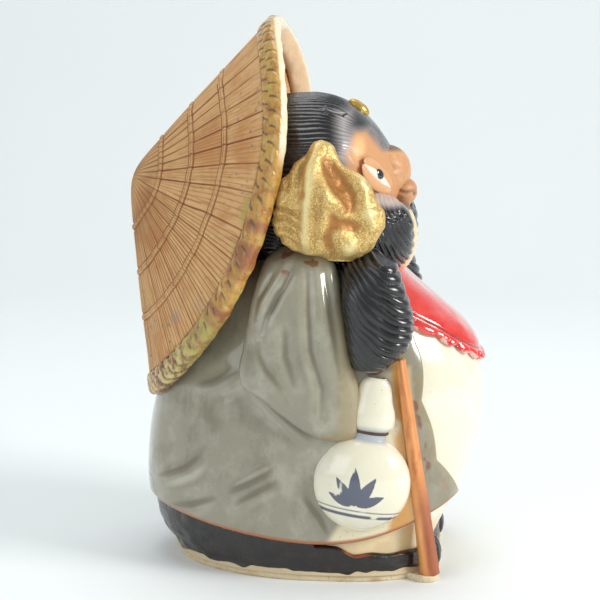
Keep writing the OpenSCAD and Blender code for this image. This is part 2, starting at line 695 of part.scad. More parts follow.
// Account book hung from the left paw by a loop of cord
book_at = [51, middle_y - 26, paw_z - 4];
module at_left_paw() translate(book_at) rotate([0, 0, 28]) children();
module book_form() at_left_paw() translate([0, -book_w / 2, -book_h]) cube([book_t, book_w, book_h]);
module account_book() color("ivory") pressed() {
    book_form();
    robe_form();
    body_form();
    arm_form(LEFT);
    sleeve_form(LEFT);
}
book_cord_l = 14;
book_cord_lean = 20;
module book_cord() color("sienna") pressed() {
    at_left_paw() for (k = [-1, 1]) translate([book_t / 2, k * book_w / 5, 0])
        rotate([k * book_cord_lean, 0, 0]) cylinder(book_cord_l, d = cord_d, $fn = 8);
    book_form();
    robe_form();
    body_form();
    arm_form(LEFT);
    sleeve_form(LEFT);
}

foot_rim();
torso();
fur_skirt();
tail();
right_foot();
left_foot();
robe();
bib();
bib_ruffle();
head();
right_jowl();
left_jowl();
right_ear();
left_ear();
right_eye();
left_eye();
right_pupil();
left_pupil();
snout();
nose();
upper_lip();
chin();
forehead_bead();
hat_crown();
hat_lining();
hat_rim();
right_sleeve();
left_sleeve();
right_arm();
left_arm();
gold_bundle();
staff();
bottle_body();
bottle_neck();
bottle_cord();
account_book();
book_cord();
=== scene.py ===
"""A glazed stoneware tanuki with a straw hat on its back: clay surfaces and fired finishes.

Every surface is worked out in millimetres in the frame of the CAD, as whole numpy arrays, and turned to
metres when its mesh is made. Angles about the body run from the front (-Y) towards the right side (-X).
"""
import logging
import math
from dataclasses import dataclass, field
from enum import Enum
from itertools import product

import bpy
import numpy as np
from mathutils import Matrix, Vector


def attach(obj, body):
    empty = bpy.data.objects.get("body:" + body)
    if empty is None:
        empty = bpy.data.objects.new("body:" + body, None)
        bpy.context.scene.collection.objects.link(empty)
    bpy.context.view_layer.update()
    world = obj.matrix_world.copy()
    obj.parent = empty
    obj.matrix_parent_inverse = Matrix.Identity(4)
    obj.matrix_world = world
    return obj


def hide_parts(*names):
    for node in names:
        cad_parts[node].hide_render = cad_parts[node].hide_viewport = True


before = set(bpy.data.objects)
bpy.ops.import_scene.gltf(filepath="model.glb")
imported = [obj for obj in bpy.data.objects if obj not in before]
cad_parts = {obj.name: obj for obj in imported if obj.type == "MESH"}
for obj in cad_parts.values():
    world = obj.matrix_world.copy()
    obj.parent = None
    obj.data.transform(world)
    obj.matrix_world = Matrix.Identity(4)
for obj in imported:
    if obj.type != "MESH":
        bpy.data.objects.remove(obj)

Array = np.ndarray
Point = tuple[float, float, float]
Pair = tuple[float, float]
Line = tuple[Pair, ...]
Rows = tuple[tuple[float, ...], ...]
Colour = tuple[float, float, float]
Shade = tuple[int, int, int]
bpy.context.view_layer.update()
FINE = 1.0
log = logging.getLogger("tanuki")


def count(full: int) -> int:
    """Number of rows or columns of a grid, fewer while the work is only tried out."""
    return max(8, int(full * FINE))


def fired(colour: Shade) -> Colour:
    """Colour as the eye reads it, 0 to 255 a channel, turned to linear light by the standard curve."""
    return tuple((c / 255 / 12.92) if c <= 10 else ((c / 255 + 0.055) / 1.055) ** 2.4 for c in colour)


# Surfaces as arrays

def turns(number: int) -> Array:
    """Angles once round, in radians, without the repeat of the first."""
    return np.linspace(0.0, 2 * np.pi, number, endpoint=False)


def columns_of(number: int) -> Array:
    """Angles once round as one row, so that they run along a grid's columns; fewer while trying out."""
    return turns(count(number))[None, :]


def rows_of(number: int) -> Array:
    """Shares from 0 to 1 as one column, so that they run along a grid's rows; fewer while trying out."""
    return np.linspace(0, 1, count(number))[:, None]


def fade(value: Array, low: float, high: float) -> Array:
    """Smooth step: 0 at low, 1 at high, with level ends."""
    t = np.clip((value - low) / (high - low), 0.0, 1.0)
    return t * t * (3 - 2 * t)


def smooth_rows(table: Array, column: int, at: Array) -> Array:
    """Smooth curve through one column of a table whose first column is the place along it.

    Cubic Hermite pieces: a row's slope is that of the line through its two neighbours, level at the ends.

    Args:
        table: rows of place and values, with rising places.
        column: the column to read.
        at: places at which the curve is wanted.

    Returns:
        The values there.
    """
    knots, values = table[:, 0], table[:, column]
    slopes = np.zeros_like(values)
    slopes[1:-1] = (values[2:] - values[:-2]) / (knots[2:] - knots[:-2])
    at = np.clip(at, knots[0], knots[-1])
    i = np.clip(np.searchsorted(knots, at, side="right") - 1, 0, len(knots) - 2)
    h = knots[i + 1] - knots[i]
    u = (at - knots[i]) / h
    return ((2 * u**3 - 3 * u**2 + 1) * values[i] + (u**3 - 2 * u**2 + u) * h * slopes[i]
            + (3 * u**2 - 2 * u**3) * values[i + 1] + (u**3 - u**2) * h * slopes[i + 1])


def oval(angle: Array, half: Array, front: Array, back: Array,
         square: Array | float = 2.0) -> tuple[Array, Array]:
    """Oval whose front half is a squared ellipse and whose back half is a plain one.

    In front |x / half| ^ n + |y / front| ^ n = 1 with n the squareness; behind, the same with n = 2.

    Args:
        angle: ways round, from the front.
        half: reach to the sides.
        front: reach to the front.
        back: reach to the back.
        square: squareness n of the front half.

    Returns:
        The x and the y.
    """
    s, k = np.sin(angle), np.cos(angle)
    power = 2 / np.asarray(square)
    x = np.where(k > 0, np.sign(s) * np.abs(s) ** power, s)
    y = np.where(k > 0, front * np.abs(k) ** power, back * k)
    return -half * x, -y


def unit(value: Array) -> Array:
    """The value held between 0 and 1."""
    return np.clip(value, 0.0, 1.0)


def xyz(x: Array, y: Array, z: Array) -> Array:
    """Points from their three coordinates, each spread over the whole grid."""
    return np.stack(np.broadcast_arrays(x, y, z), -1)


def spin(axis: int, angle: float) -> Array:
    """Matrix that turns points about x, y or z, numbered 0 to 2, by an angle in radians.

    Args:
        axis: the axis.
        angle: the angle.

    Returns:
        The 3 by 3 matrix.
    """
    turn = np.eye(3)
    i, j = (axis + 1) % 3, (axis + 2) % 3
    turn[i, i] = turn[j, j] = math.cos(angle)
    turn[j, i] = math.sin(angle)
    turn[i, j] = -turn[j, i]
    return turn


def bell(off: Array, width: Array | float) -> Array:
    """Bell-shaped curve: 1 where the distance is 0, and 1 / e at the width."""
    return np.exp(-(off / width) ** 2)


def mound(*pairs: tuple[Array, float]) -> Array:
    """Bell over several distances at once, each with its own width."""
    return np.exp(-sum((off / width) ** 2 for off, width in pairs))


def lattice_noise(points: Array, size: float, seed: int) -> Array:
    """Soft noise from -1 to 1: random numbers on a lattice of that size, blended between its corners.

    Args:
        points: places in mm, last axis x, y and z.
        size: spacing of the lattice in mm.
        seed: another number gives another lattice.

    Returns:
        One value for each place.
    """
    scaled = points / size
    cell = np.floor(scaled).astype(np.int64)
    t = scaled - cell
    t = t * t * (3 - 2 * t)
    total = np.zeros(points.shape[:-1])
    for corner in product((0, 1), repeat=3):
        key = (cell + corner) * np.array([73856093, 19349663, 83492791])
        mixed = np.bitwise_xor.reduce(key, axis=-1) ^ (seed * 40503)
        mixed = (mixed ^ (mixed >> 13)) * 1274126177 & 0x7FFFFFFF
        value = ((mixed ^ (mixed >> 15)) & 0xFFFF) / 32767.5 - 1
        total += value * np.prod(np.where(corner, t, 1 - t), axis=-1)
    return total


def rumple(points: Array, size: float, seed: int, layers: int = 2) -> Array:
    """Noise in layers, each half the size and half the height of the one before, from about -1 to 1."""
    return sum(lattice_noise(points, size / 2**k, seed + 7 * k) / 2**k for k in range(layers)) / 1.4


def strand_noise(points: Array, size: Point, seed: int) -> Array:
    """Noise drawn out along one or two axes: its lattice has its own spacing along each."""
    return lattice_noise(points / np.array(size), 1.0, seed)


def comb(phase: Array) -> Array:
    """Combed grooves: 0 on rounded crests, 1 in the sharp valleys, which lie at whole turns of phase."""
    return 1 - np.abs(np.sin(phase / 2)) ** 0.7


def grid_normals(grid: Array, looped: bool = False, closed: bool = True) -> Array:
    """Unit normals of a grid of points: the cross product of its row and column directions.

    Args:
        grid: points, rows by columns.
        looped: whether the last row meets the first.
        closed: whether the last column meets the first.

    Returns:
        The normals.
    """
    def slope(axis: int, wraps: bool) -> Array:
        """Difference between the neighbours on both sides.

        Args:
            axis: 0 along the rows, 1 along the columns.
            wraps: whether the grid closes that way.

        Returns:
            The differences.
        """
        if wraps:
            return np.roll(grid, -1, axis) - np.roll(grid, 1, axis)
        return np.gradient(grid, axis=axis)
    normal = np.cross(slope(0, looped), slope(1, closed))
    return normal / np.maximum(np.linalg.norm(normal, axis=-1, keepdims=True), 1e-9)


def raised(grid: Array, height: Array, looped: bool = False, closed: bool = True) -> Array:
    """The grid moved outwards along its normals by a height at each point."""
    return grid + grid_normals(grid, looped, closed) * height[..., None]


def side_path(y: Array, z: Array, path: Line) -> tuple[Array, Array]:
    """Signed distance from a bent line in the side view, and the share of the way along it.

    Args:
        y: places from front to back.
        z: heights.
        path: the line's corners as (y, z).

    Returns:
        Distance, above zero on the line's left, and share from 0 to 1.
    """
    corners = np.array(path, float)
    steps = np.diff(corners, axis=0)
    lengths = np.linalg.norm(steps, axis=1)
    before = np.concatenate([[0.0], np.cumsum(lengths)[:-1]])
    best, side, share = np.full(y.shape, 1e9), np.ones(y.shape), np.zeros(y.shape)
    for start, step, length, done in zip(corners[:-1], steps, lengths, before):
        dy, dz = y - start[0], z - start[1]
        t = unit((dy * step[0] + dz * step[1]) / length**2)
        gap = np.hypot(dy - t * step[0], dz - t * step[1])
        nearer = gap < best
        best = np.where(nearer, gap, best)
        side = np.where(nearer, np.sign(step[0] * dz - step[1] * dy + 1e-12), side)
        share = np.where(nearer, (done + t * length) / lengths.sum(), share)
    return best * side, share


def inside_area(y: Array, z: Array, corners: Line, soft: float) -> Array:
    """1 inside an area of the side view and 0 outside, blended over the soft width at its edge.

    Args:
        y: places from front to back.
        z: their heights.
        corners: the area's corners.
        soft: width of the blend in mm.

    Returns:
        The share inside.
    """
    ring = (*corners, corners[0])
    gap, _ = side_path(y, z, ring)
    odd = np.zeros(y.shape, bool)
    for (y0, z0), (y1, z1) in zip(ring[:-1], ring[1:]):
        crosses = (z0 > z) != (z1 > z)
        odd ^= crosses & (y < (y1 - y0) * (z - z0) / (z1 - z0 + 1e-12) + y0)
    return fade(np.where(odd, np.abs(gap), -np.abs(gap)), -soft, soft)


@dataclass(frozen=True)
class Fold:
    """A fold or crease drawn in the side view: a valley along a line with a ridge on one side of it."""

    path: Line
    width: float = 2.0
    depth: float = 1.0
    ridge: float = 0.5

    def height(self, y: Array, z: Array) -> Array:
        """Height in mm: a bell-shaped valley and a wider bell-shaped ridge, both fading at the line's ends.

        Args:
            y: places from front to back.
            z: their heights.

        Returns:
            The heights.
        """
        gap, share = side_path(y, z, self.path)
        taper = np.sqrt(unit(np.sin(np.pi * np.clip(share, 0.02, 0.98))))
        valley = bell(gap, self.width)
        crest = bell(gap - 1.9 * self.width, 1.4 * self.width)
        return taper * (self.ridge * crest - self.depth * valley)

    def shade(self, y: Array, z: Array) -> Array:
        """How deep a place lies in the valley, from 0 to 1.

        Args:
            y: places from front to back.
            z: their heights.

        Returns:
            The depths.
        """
        gap, share = side_path(y, z, self.path)
        taper = np.sqrt(unit(np.sin(np.pi * np.clip(share, 0.02, 0.98))))
        return taper * bell(gap, 0.8 * self.width)


# Grids turned into meshes

@dataclass
class Cast:
    """Points in mm with faces over them and marks on them: the clay before it is dressed."""

    points: Array
    faces: list[Array]
    marks: dict[str, Array] = field(default_factory=dict)

    def volume(self) -> float:
        """Six times the volume inside: the sum of p0 . (p1 x p2) over the faces' triangles.

        Returns:
            The volume, below 0 where the skin is inside out.
        """
        total = 0.0
        for face in self.faces:
            for k in range(1, face.shape[1] - 1):
                a, b, c = (self.points[face[:, i]] for i in (0, k, k + 1))
                total += float(np.sum(a * np.cross(b, c)))
        return total

    def mirrored(self) -> "Cast":
        """The same clay on the figure's other side."""
        return Cast(self.points * np.array([-1.0, 1.0, 1.0]), [f[:, ::-1] for f in self.faces],
                    dict(self.marks))


def tube(grid: Array, marks: dict[str, Array] | None = None, looped: bool = False) -> Cast:
    """Closed skin over rings of points: four-sided faces between rings, and a fan at each end unless looped.

    Args:
        grid: rings x points x 3; each ring closes on itself.
        marks: values on the points.
        looped: the last ring joins the first, and there are no ends.

    Returns:
        The clay.
    """
    rows, columns = grid.shape[:2]
    i = np.arange(rows if looped else rows - 1)[:, None]
    j = np.arange(columns)[None, :]
    up, on = (i + 1) % rows, (j + 1) % columns
    quads = np.stack([i * columns + j, up * columns + j, up * columns + on, i * columns + on],
                     -1).reshape(-1, 4)
    points = grid.reshape(-1, 3)
    values = {k: np.broadcast_to(v, grid.shape[:2] + np.shape(v)[2:])
              .reshape((rows * columns,) + np.shape(v)[2:])
              for k, v in (marks or {}).items()}
    if looped:
        return Cast(points, [quads], values)
    ring, after = np.arange(columns), (np.arange(columns) + 1) % columns
    low, high, top = rows * columns, rows * columns + 1, (rows - 1) * columns
    fans = np.concatenate([np.stack([np.full(columns, low), ring, after], -1),
                           np.stack([top + ring, np.full(columns, high), top + after], -1)])
    points = np.concatenate([points, grid[0].mean(0)[None], grid[-1].mean(0)[None]])
    values = {k: np.concatenate([v, v[:columns].mean(0)[None], v[top:].mean(0)[None]])
              for k, v in values.items()}
    return Cast(points, [quads, fans], values)


def walled(outer: Array, inner: Array, marks: dict[str, Array] | None = None) -> Cast:
    """Open sheet with a thickness: two grids of the same shape, joined all round by strips.

    Args:
        outer: outer grid.
        inner: inner grid.
        marks: marks over the outer grid.

    Returns:
        The clay.
    """
    rows, columns = outer.shape[:2]
    n = rows * columns
    i, j = np.meshgrid(np.arange(rows - 1), np.arange(columns - 1), indexing="ij")
    a = (i * columns + j).ravel()
    face = np.stack([a, a + columns, a + columns + 1, a + 1], -1)
    r, c = np.arange(rows - 1) * columns, np.arange(columns - 1)
    top, right = c + (rows - 1) * columns, r + columns - 1
    strips = [np.stack([c, c + 1, c + 1 + n, c + n], -1),
              np.stack([top + 1, top, top + n, top + 1 + n], -1),
              np.stack([r + columns, r, r + n, r + columns + n], -1),
              np.stack([right, right + columns, right + columns + n, right + n], -1)]
    values = {k: np.concatenate([v.reshape((n,) + v.shape[2:])] * 2) for k, v in (marks or {}).items()}
    return Cast(np.concatenate([outer.reshape(-1, 3), inner.reshape(-1, 3)]),
                [face, face[:, ::-1] + n, *strips], values)


def there_and_back(marks: dict[str, Array]) -> dict[str, Array]:
    """Marks of a face, and again in turn for its back."""
    return {k: np.concatenate([v, v[::-1]]) for k, v in marks.items()}


def joined(casts: list[Cast]) -> Cast:
    """Several lots of clay as one, with every mark that any of them has.

    Args:
        casts: the lots of clay.

    Returns:
        The clay.
    """
    names = {name: c.marks[name].shape[1:] for c in casts for name in c.marks}
    faces, start = [], 0
    for c in casts:
        faces += [f + start for f in c.faces]
        start += len(c.points)
    marks = {name: np.concatenate([c.marks.get(name, np.zeros((len(c.points),) + shape)) for c in casts])
             for name, shape in names.items()}
    return Cast(np.concatenate([c.points for c in casts]), faces, marks)


def egg(centre: Point, side: float, front: float, back: float, top: float, bottom: float,
        rows: int, columns: int, full: float = 2.0) -> Array:
    """Grid over an egg about a point, from its lowest ring to its highest, with its own reach each way.

    A fullness above 2 draws the egg out towards the corners of its box.

    Args:
        centre: the point.
        side: reach to both sides.
        front: reach to the front.
        back: reach to the back.
        top: reach upwards.
        bottom: reach downwards.
        rows: number of rings.
        columns: points in a ring.
        full: the fullness.

    Returns:
        The points.
    """
    rise = np.linspace(-np.pi / 2, np.pi / 2, rows + 2)[1:-1, None]
    ring = np.cos(rise) ** (2 / full)
    height = np.sign(rise) * np.abs(np.sin(rise)) ** (2 / full)
    x, y = oval(turns(columns)[None, :], side * ring, front * ring, back * ring)
    z = np.broadcast_to(np.where(rise > 0, top, bottom) * height, x.shape)
    return xyz(x, y, z) + np.array(centre)


@dataclass(frozen=True)
class Lump:
    """Egg of clay: its middle and its reach to the side, front, back, top and bottom, in mm."""

    centre: Point
    side: float
    front: float
    back: float
    top: float
    bottom: float
    full: float = 2.0

    def grid(self, rows: int, columns: int) -> Array:
        """Points over the egg, fewer while the work is only tried out."""
        return egg(self.centre, self.side, self.front, self.back, self.top, self.bottom, count(rows),
                   count(columns), self.full)


def limb(table: Array, rows: int, columns: int, square: float, rounded: float) -> Array:
    """Grid over a limb: squared ovals of half thickness and half width carried up a bent line.

    Args:
        table: rows of height, x, y, half thickness and half width.
        rows: rings of the grid.
        columns: points in a ring.
        square: squareness of the oval.
        rounded: length in mm over which each end closes as a quarter round.

    Returns:
        The grid, from the lowest ring to the highest.
    """
    low, high = table[0, 0], table[-1, 0]
    t = np.linspace(0, 1, rows)
    z = (low + (high - low) * (t + 0.5 * t - 1.5 * t**2 + t**3))[:, None]
    end = np.minimum(z - low, high - z) / rounded
    shrink = np.sqrt(unit(1 - (1 - np.clip(end, 0.004, 1)) ** 2))
    angle = turns(columns)[None, :]
    s, k = np.sin(angle), np.cos(angle)
    x = -np.sign(s) * np.abs(s) ** (2 / square) * smooth_rows(table, 3, z) * shrink
    y = -np.sign(k) * np.abs(k) ** (2 / square) * smooth_rows(table, 4, z) * shrink
    return xyz(smooth_rows(table, 1, z) + x, smooth_rows(table, 2, z) + y, z)


def facing(place: Array, normal: Array, roll: float, local: Array) -> Array:
    """Local points put at a place, their z along the normal and turned about it by the roll in degrees.

    Args:
        place: the place.
        normal: the normal there.
        roll: the turn.
        local: the points.

    Returns:
        The points in the frame.
    """
    lean = spin(1, math.acos(normal[2] / np.linalg.norm(normal)))
    swing = spin(2, math.atan2(normal[1], normal[0]))
    return local @ (swing @ lean @ spin(2, math.radians(roll))).T + place


# Shader maths and finishes

class Wire:
    """A socket that takes part in sums: each operator adds the Math node that works it out."""

    def __init__(self, bench: "Bench", socket: bpy.types.NodeSocket) -> None:
        """Keep the node tree's bench and the socket."""
        self.bench, self.socket = bench, socket

    def _sum(self, operation: str, *values: "Wire | float") -> "Wire":
        """Math node of that operation over the values."""
        node = self.bench.node("ShaderNodeMath", {"operation": operation}, dict(enumerate(values)))
        return Wire(self.bench, node.outputs[0])

    def __add__(self, other: "Wire | float") -> "Wire":
        """Sum."""
        return self._sum("ADD", self, other)

    def __sub__(self, other: "Wire | float") -> "Wire":
        """Difference."""
        return self._sum("SUBTRACT", self, other)

    def __rsub__(self, other: "Wire | float") -> "Wire":
        """A number less this value."""
        return self._sum("SUBTRACT", other, self)

    def __mul__(self, other: "Wire | float") -> "Wire":
        """Product."""
        return self._sum("MULTIPLY", self, other)

    def fraction(self) -> "Wire":
        """What is left above the whole number."""
        return self._sum("FRACT", self)

    def distance(self) -> "Wire":
        """The value without its sign."""
        return self._sum("ABSOLUTE", self)

    __radd__ = __add__
    __rmul__ = __mul__


class Bench:
    """A material's node tree and the one method that adds a node to it."""

    def __init__(self, name: str) -> None:
        """Start an empty material.

        Args:
            name: the material's name.
        """
        self.material = bpy.data.materials.new(name)
        self.material.use_nodes = True
        self.tree = self.material.node_tree
        self.tree.nodes.clear()

    def node(self, kind: str, settings: dict | None = None, inputs: dict | None = None) -> bpy.types.Node:
        """Add a node.

        Args:
            kind: the node's type.
            settings: properties such as a Math node's operation, set first.
            inputs: values or wires by socket name or number.

        Returns:
            The node.
        """
        node = self.tree.nodes.new(kind)
        for key, value in (settings or {}).items():
            setattr(node, key, value)
        for key, value in (inputs or {}).items():
            if isinstance(value, Wire):
                self.tree.links.new(value.socket, node.inputs[key])
            else:
                node.inputs[key].default_value = value
        return node

    def out(self, kind: str, output: str | int, settings: dict | None = None,
            inputs: dict | None = None) -> Wire:
        """Add a node and give one of its outputs."""
        return Wire(self, self.node(kind, settings, inputs).outputs[output])

    def blend(self, under: "Wire | Colour", over: "Wire | Colour", share: "Wire | float") -> Wire:
        """One colour laid over another by a share from 0 to 1.

        Args:
            under: colour below.
            over: colour on top.
            share: how much of it shows.

        Returns:
            The blended colour.
        """
        def paint(colour: "Wire | Colour") -> "Wire | tuple":
            """A colour with its alpha, or the wire as it is."""
            return colour if isinstance(colour, Wire) else (*colour, 1.0)
        return self.out("ShaderNodeMix", 2, {"data_type": "RGBA"},
                        {0: share, 6: paint(under), 7: paint(over)})

    def step(self, value: Wire, low: float, high: float) -> Wire:
        """Smooth step of a value between low and high."""
        return self.out("ShaderNodeMapRange", 0, {"interpolation_type": "SMOOTHSTEP"},
                        {"Value": value, "From Min": low, "From Max": high})


class Field(Enum):
    """What a layer of colour or grain follows over the surface."""

    MARK = "a value laid on the piece's points"
    CLOUD = "soft noise"
    STRAND = "noise drawn out along the piece's own flow"
    SPECK = "scattered dots"
    CRACK = "a net of hairlines"
    FLAKE = "cells with a random value each"
    RULE = "thin lines at the whole steps of a value laid on the points, 1 less the distance in mm"


@dataclass(frozen=True)
class Layer:
    """A colour that lies over those before it where its field is high."""

    field: Field
    colour: Shade
    low: float = 0.0
    high: float = 1.0
    amount: float = 1.0
    size: float = 5.0
    mark: str = ""
    within: str = ""
    rough: float | None = None
    coat: float | None = None
    metal: float | None = None
    seed: int = 1
    stretch: Colour = (1.0, 1.0, 1.0)


def tint(mark: str, colour: Shade, low: float, high: float, amount: float, **gloss: float) -> Layer:
    """Colour laid where a mark on the clay is high; the gloss may set roughness, coat and metal there."""
    return Layer(Field.MARK, colour, low, high, amount, mark=mark, **gloss)


def cloud(colour: Shade, low: float, high: float, amount: float, size: float, seed: int, within: str = "",
          stretch: Colour = (1.0, 1.0, 1.0)) -> Layer:
    """Colour in soft clouds of a size in mm, all over or within a mark."""
    return Layer(Field.CLOUD, colour, low, high, amount, size, within=within, seed=seed, stretch=stretch)


@dataclass(frozen=True)
class Grain:
    """Fine relief that the grid is too coarse to hold: a field's height in mm."""

    field: Field
    size: float
    height: float
    seed: int = 5
    within: str = ""
    stretch: Colour = (1.0, 1.0, 1.0)


@dataclass(frozen=True)
class Finish:
    """A fired finish: a body colour, layers over it, gloss and fine relief."""

    name: str
    colour: Shade
    layers: tuple[Layer, ...] = ()
    grains: tuple[Grain, ...] = ()
    rough: float = 0.3
    rough_spread: float = 0.1
    coat: float = 0.0
    coat_rough: float = 0.06
    metal: float = 0.0
    specular: float = 0.5

    def value(self, bench: Bench, kind: Field, size: float, seed: int, stretch: Colour,
              mark: str) -> Wire:
        """A field as a value from about 0 to 1 over the surface.

        Args:
            bench: the material's bench.
            kind: the field.
            size: size of its features in mm.
            seed: shifts the pattern.
            stretch: how much longer the features are along x, y and z.
            mark: name of the value on the points.

        Returns:
            The value.
        """
        if kind is Field.MARK:
            return bench.out("ShaderNodeAttribute", "Fac", {"attribute_name": mark})
        if kind is Field.RULE:
            phase = bench.out("ShaderNodeAttribute", "Fac", {"attribute_name": mark}) * size
            pitch = bench.out("ShaderNodeAttribute", "Fac", {"attribute_name": mark + "_pitch"})
            return 1 - (0.5 - (phase.fraction() - 0.5).distance()) * pitch * (1 / size)
        if kind is Field.STRAND:
            place = bench.out("ShaderNodeAttribute", "Vector", {"attribute_name": "flow"})
            unit = 1.0
        else:
            place = bench.out("ShaderNodeTexCoord", "Object")
            unit = 1000.0
        shift = (0.37 * seed, 0.71 * seed, 0.13 * seed)
        vector = bench.out("ShaderNodeMapping", 0, None, {
            "Vector": place, "Location": shift, "Scale": tuple(unit / size / s for s in stretch)})
        if kind in (Field.CLOUD, Field.STRAND):
            return bench.out("ShaderNodeTexNoise", 0, None,
                             {"Vector": vector, "Scale": 1.0, "Detail": 4.0,
                                                             "Roughness": 0.6})
        if kind is Field.FLAKE:
            cell = bench.out("ShaderNodeTexVoronoi", "Color", None, {"Vector": vector, "Scale": 1.0})
            return bench.out("ShaderNodeSeparateColor", 0, None, {"Color": cell})
        shape = "DISTANCE_TO_EDGE" if kind is Field.CRACK else "F1"
        return 1 - bench.out("ShaderNodeTexVoronoi", "Distance", {"feature": shape},
                             {"Vector": vector, "Scale": 1.0})

    def share(self, bench: Bench, layer: Layer) -> Wire:
        """How strongly a layer lies at each place: its stepped field, times its amount and its bounding mark.

        Args:
            bench: the material's nodes.
            layer: the layer.

        Returns:
            The share, 0 to 1.
        """
        value = self.value(bench, layer.field, layer.size, layer.seed, layer.stretch, layer.mark)
        wire = bench.step(value, layer.low, layer.high) * layer.amount
        if layer.within:
            wire = wire * self.value(bench, Field.MARK, 1, 1, (1, 1, 1), layer.within)
        return wire

    def material(self) -> bpy.types.Material:
        """Build the material: layers feed colour, roughness, coat and metal, and grains feed a Bump node.

        Returns:
            Blender's material.
        """
        bench = Bench(self.name)
        colour: Wire | Colour = fired(self.colour)
        haze = self.value(bench, Field.CLOUD, 14.0, 9, (1, 1, 1), "")
        rough = (haze - 0.5) * (2 * self.rough_spread) + self.rough
        coat: Wire | float = self.coat
        metal: Wire | float = self.metal
        for layer in self.layers:
            share = self.share(bench, layer)
            colour = bench.blend(colour, fired(layer.colour), share)
            if layer.rough is not None:
                rough = rough + (layer.rough - rough) * share
            if layer.coat is not None:
                coat = (share * (-1) + 1) * coat + share * layer.coat
            if layer.metal is not None:
                metal = (share * (-1) + 1) * metal + share * layer.metal
        inputs = {"Base Color": colour if isinstance(colour, Wire) else (*colour, 1.0),
                  "Roughness": rough,
                  "Metallic": metal, "Coat Weight": coat, "Coat Roughness": self.coat_rough,
                  "Specular IOR Level": self.specular}
        if self.grains:
            height: Wire | None = None
            for grain in self.grains:
                part = (self.value(bench, grain.field, grain.size, grain.seed, grain.stretch, "")
                        * (grain.height / 1000))
                if grain.within:
                    part = part * self.value(bench, Field.MARK, 1, 1, (1, 1, 1), grain.within)
                height = part if height is None else height + part
            inputs["Normal"] = bench.out("ShaderNodeBump", 0, None,
                                         {"Height": height, "Distance": 1.0, "Strength": 1.0})
        shader = bench.out("ShaderNodeBsdfPrincipled", 0, None, inputs)
        bench.node("ShaderNodeOutputMaterial", None, {0: shader})
        return bench.material


STRAW = Finish("straw_clay", (214, 168, 112), (
    Layer(Field.STRAND, (228, 186, 128), 0.45, 0.72, 0.75, 1.6, seed=2),
    Layer(Field.STRAND, (172, 118, 68), 0.48, 0.68, 0.7, 1.0, seed=4),
    cloud((192, 128, 70), 0.48, 0.68, 0.7, 24, 3),
    tint("groove", (139, 78, 42), 0.15, 0.8, 0.9),
    Layer(Field.RULE, (146, 94, 52), 0.55, 0.85, 0.7, 5, mark="panel", within="fine"),
    Layer(Field.RULE, (124, 66, 30), 0.45, 0.8, 0.95, 1, mark="panel", within="bold"),
    # crest: a painted highlight along the raised rings.
    tint("crest", (222, 180, 120), 0.2, 1.0, 0.7),
    Layer(Field.SPECK, (104, 100, 104), 0.76, 0.88, 0.6, 4.6, within="ash", seed=6),
    tint("blue", (146, 140, 132), 0.3, 1.0, 0.5),
    tint("pool", (176, 156, 66), 0.25, 1.0, 0.75, rough=0.2, coat=0.5)),
    (Grain(Field.CLOUD, 1.2, 0.16), Grain(Field.STRAND, 1.0, 0.22)), rough=0.6, rough_spread=0.12)
LINING = Finish("lining_clay", (218, 160, 124), (
    Layer(Field.STRAND, (236, 190, 156), 0.45, 0.7, 0.8, 1.5, seed=2),
    Layer(Field.STRAND, (186, 120, 86), 0.5, 0.72, 0.7, 1.2, seed=5),
    Layer(Field.RULE, (150, 88, 60), 0.45, 0.85, 0.7, 1, mark="panel"),
    tint("blue", (140, 120, 126), 0.2, 1.0, 0.75)),
    (Grain(Field.CLOUD, 1.2, 0.12), Grain(Field.STRAND, 1.0, 0.2)), rough=0.6)
RIM = Finish("rim_glaze", (200, 152, 70), (
    cloud((168, 108, 42), 0.45, 0.66, 0.9, 5, 2),
    cloud((190, 172, 82), 0.52, 0.7, 0.85, 7, 8),
    cloud((226, 196, 128), 0.56, 0.7, 0.7, 3.4, 11),
    cloud((122, 74, 36), 0.58, 0.7, 0.6, 2.2, 3),
    tint("rust_and_painted_shadow", (150, 84, 48), 0.15, 0.9, 0.85),
    tint("pool", (184, 170, 84), 0.15, 0.9, 0.8),
    tint("groove", (104, 78, 40), 0.15, 0.8, 0.85),
    tint("peach", (242, 204, 162), 0.2, 0.7, 0.95, rough=0.5, coat=0.1),
    tint("lip", (242, 228, 192), 0.2, 0.9, 0.95, rough=0.1),
    tint("crest", (232, 206, 150), 0.2, 1.0, 0.8),
    cloud((116, 68, 36), 0.46, 0.58, 0.9, 4, 4, within="scorch")),
    (Grain(Field.CLOUD, 1.6, 0.2), Grain(Field.CLOUD, 0.6, 0.05, 8)), rough=0.26, coat=0.6,
    coat_rough=0.12)
CELADON = Finish("celadon_glaze", (150, 145, 125), (
    cloud((170, 166, 148), 0.45, 0.68, 0.85, 16, 2),
    cloud((130, 122, 98), 0.5, 0.72, 0.7, 12, 3, stretch=(1, 1, 1.6)),
    tint("crest", (194, 190, 172), 0.15, 0.9, 0.75),
    tint("groove", (104, 94, 72), 0.15, 0.9, 0.8),
    tint("warm", (162, 140, 92), 0.15, 1.0, 0.6),
    # pale: the cream glaze runs on the robe, and a painted highlight at the top of each sleeve.
    tint("pale", (232, 220, 186), 0.15, 0.8, 0.92, rough=0.14),
    Layer(Field.CRACK, (176, 132, 62), 0.93, 0.99, 0.35, 2.2, within="amber", seed=6),
    tint("amber", (202, 142, 54), 0.1, 0.8, 0.92),
    tint("rust_and_painted_shadow", (176, 98, 48), 0.2, 0.8, 0.92),
    tint("scorch", (124, 68, 36), 0.3, 0.9, 0.85),
    Layer(Field.SPECK, (120, 92, 66), 0.86, 0.93, 0.35, 3.4, seed=5)),
    (Grain(Field.CLOUD, 7.0, 0.16), Grain(Field.CLOUD, 1.0, 0.012, 7)), rough=0.2, rough_spread=0.05,
    coat=0.7)
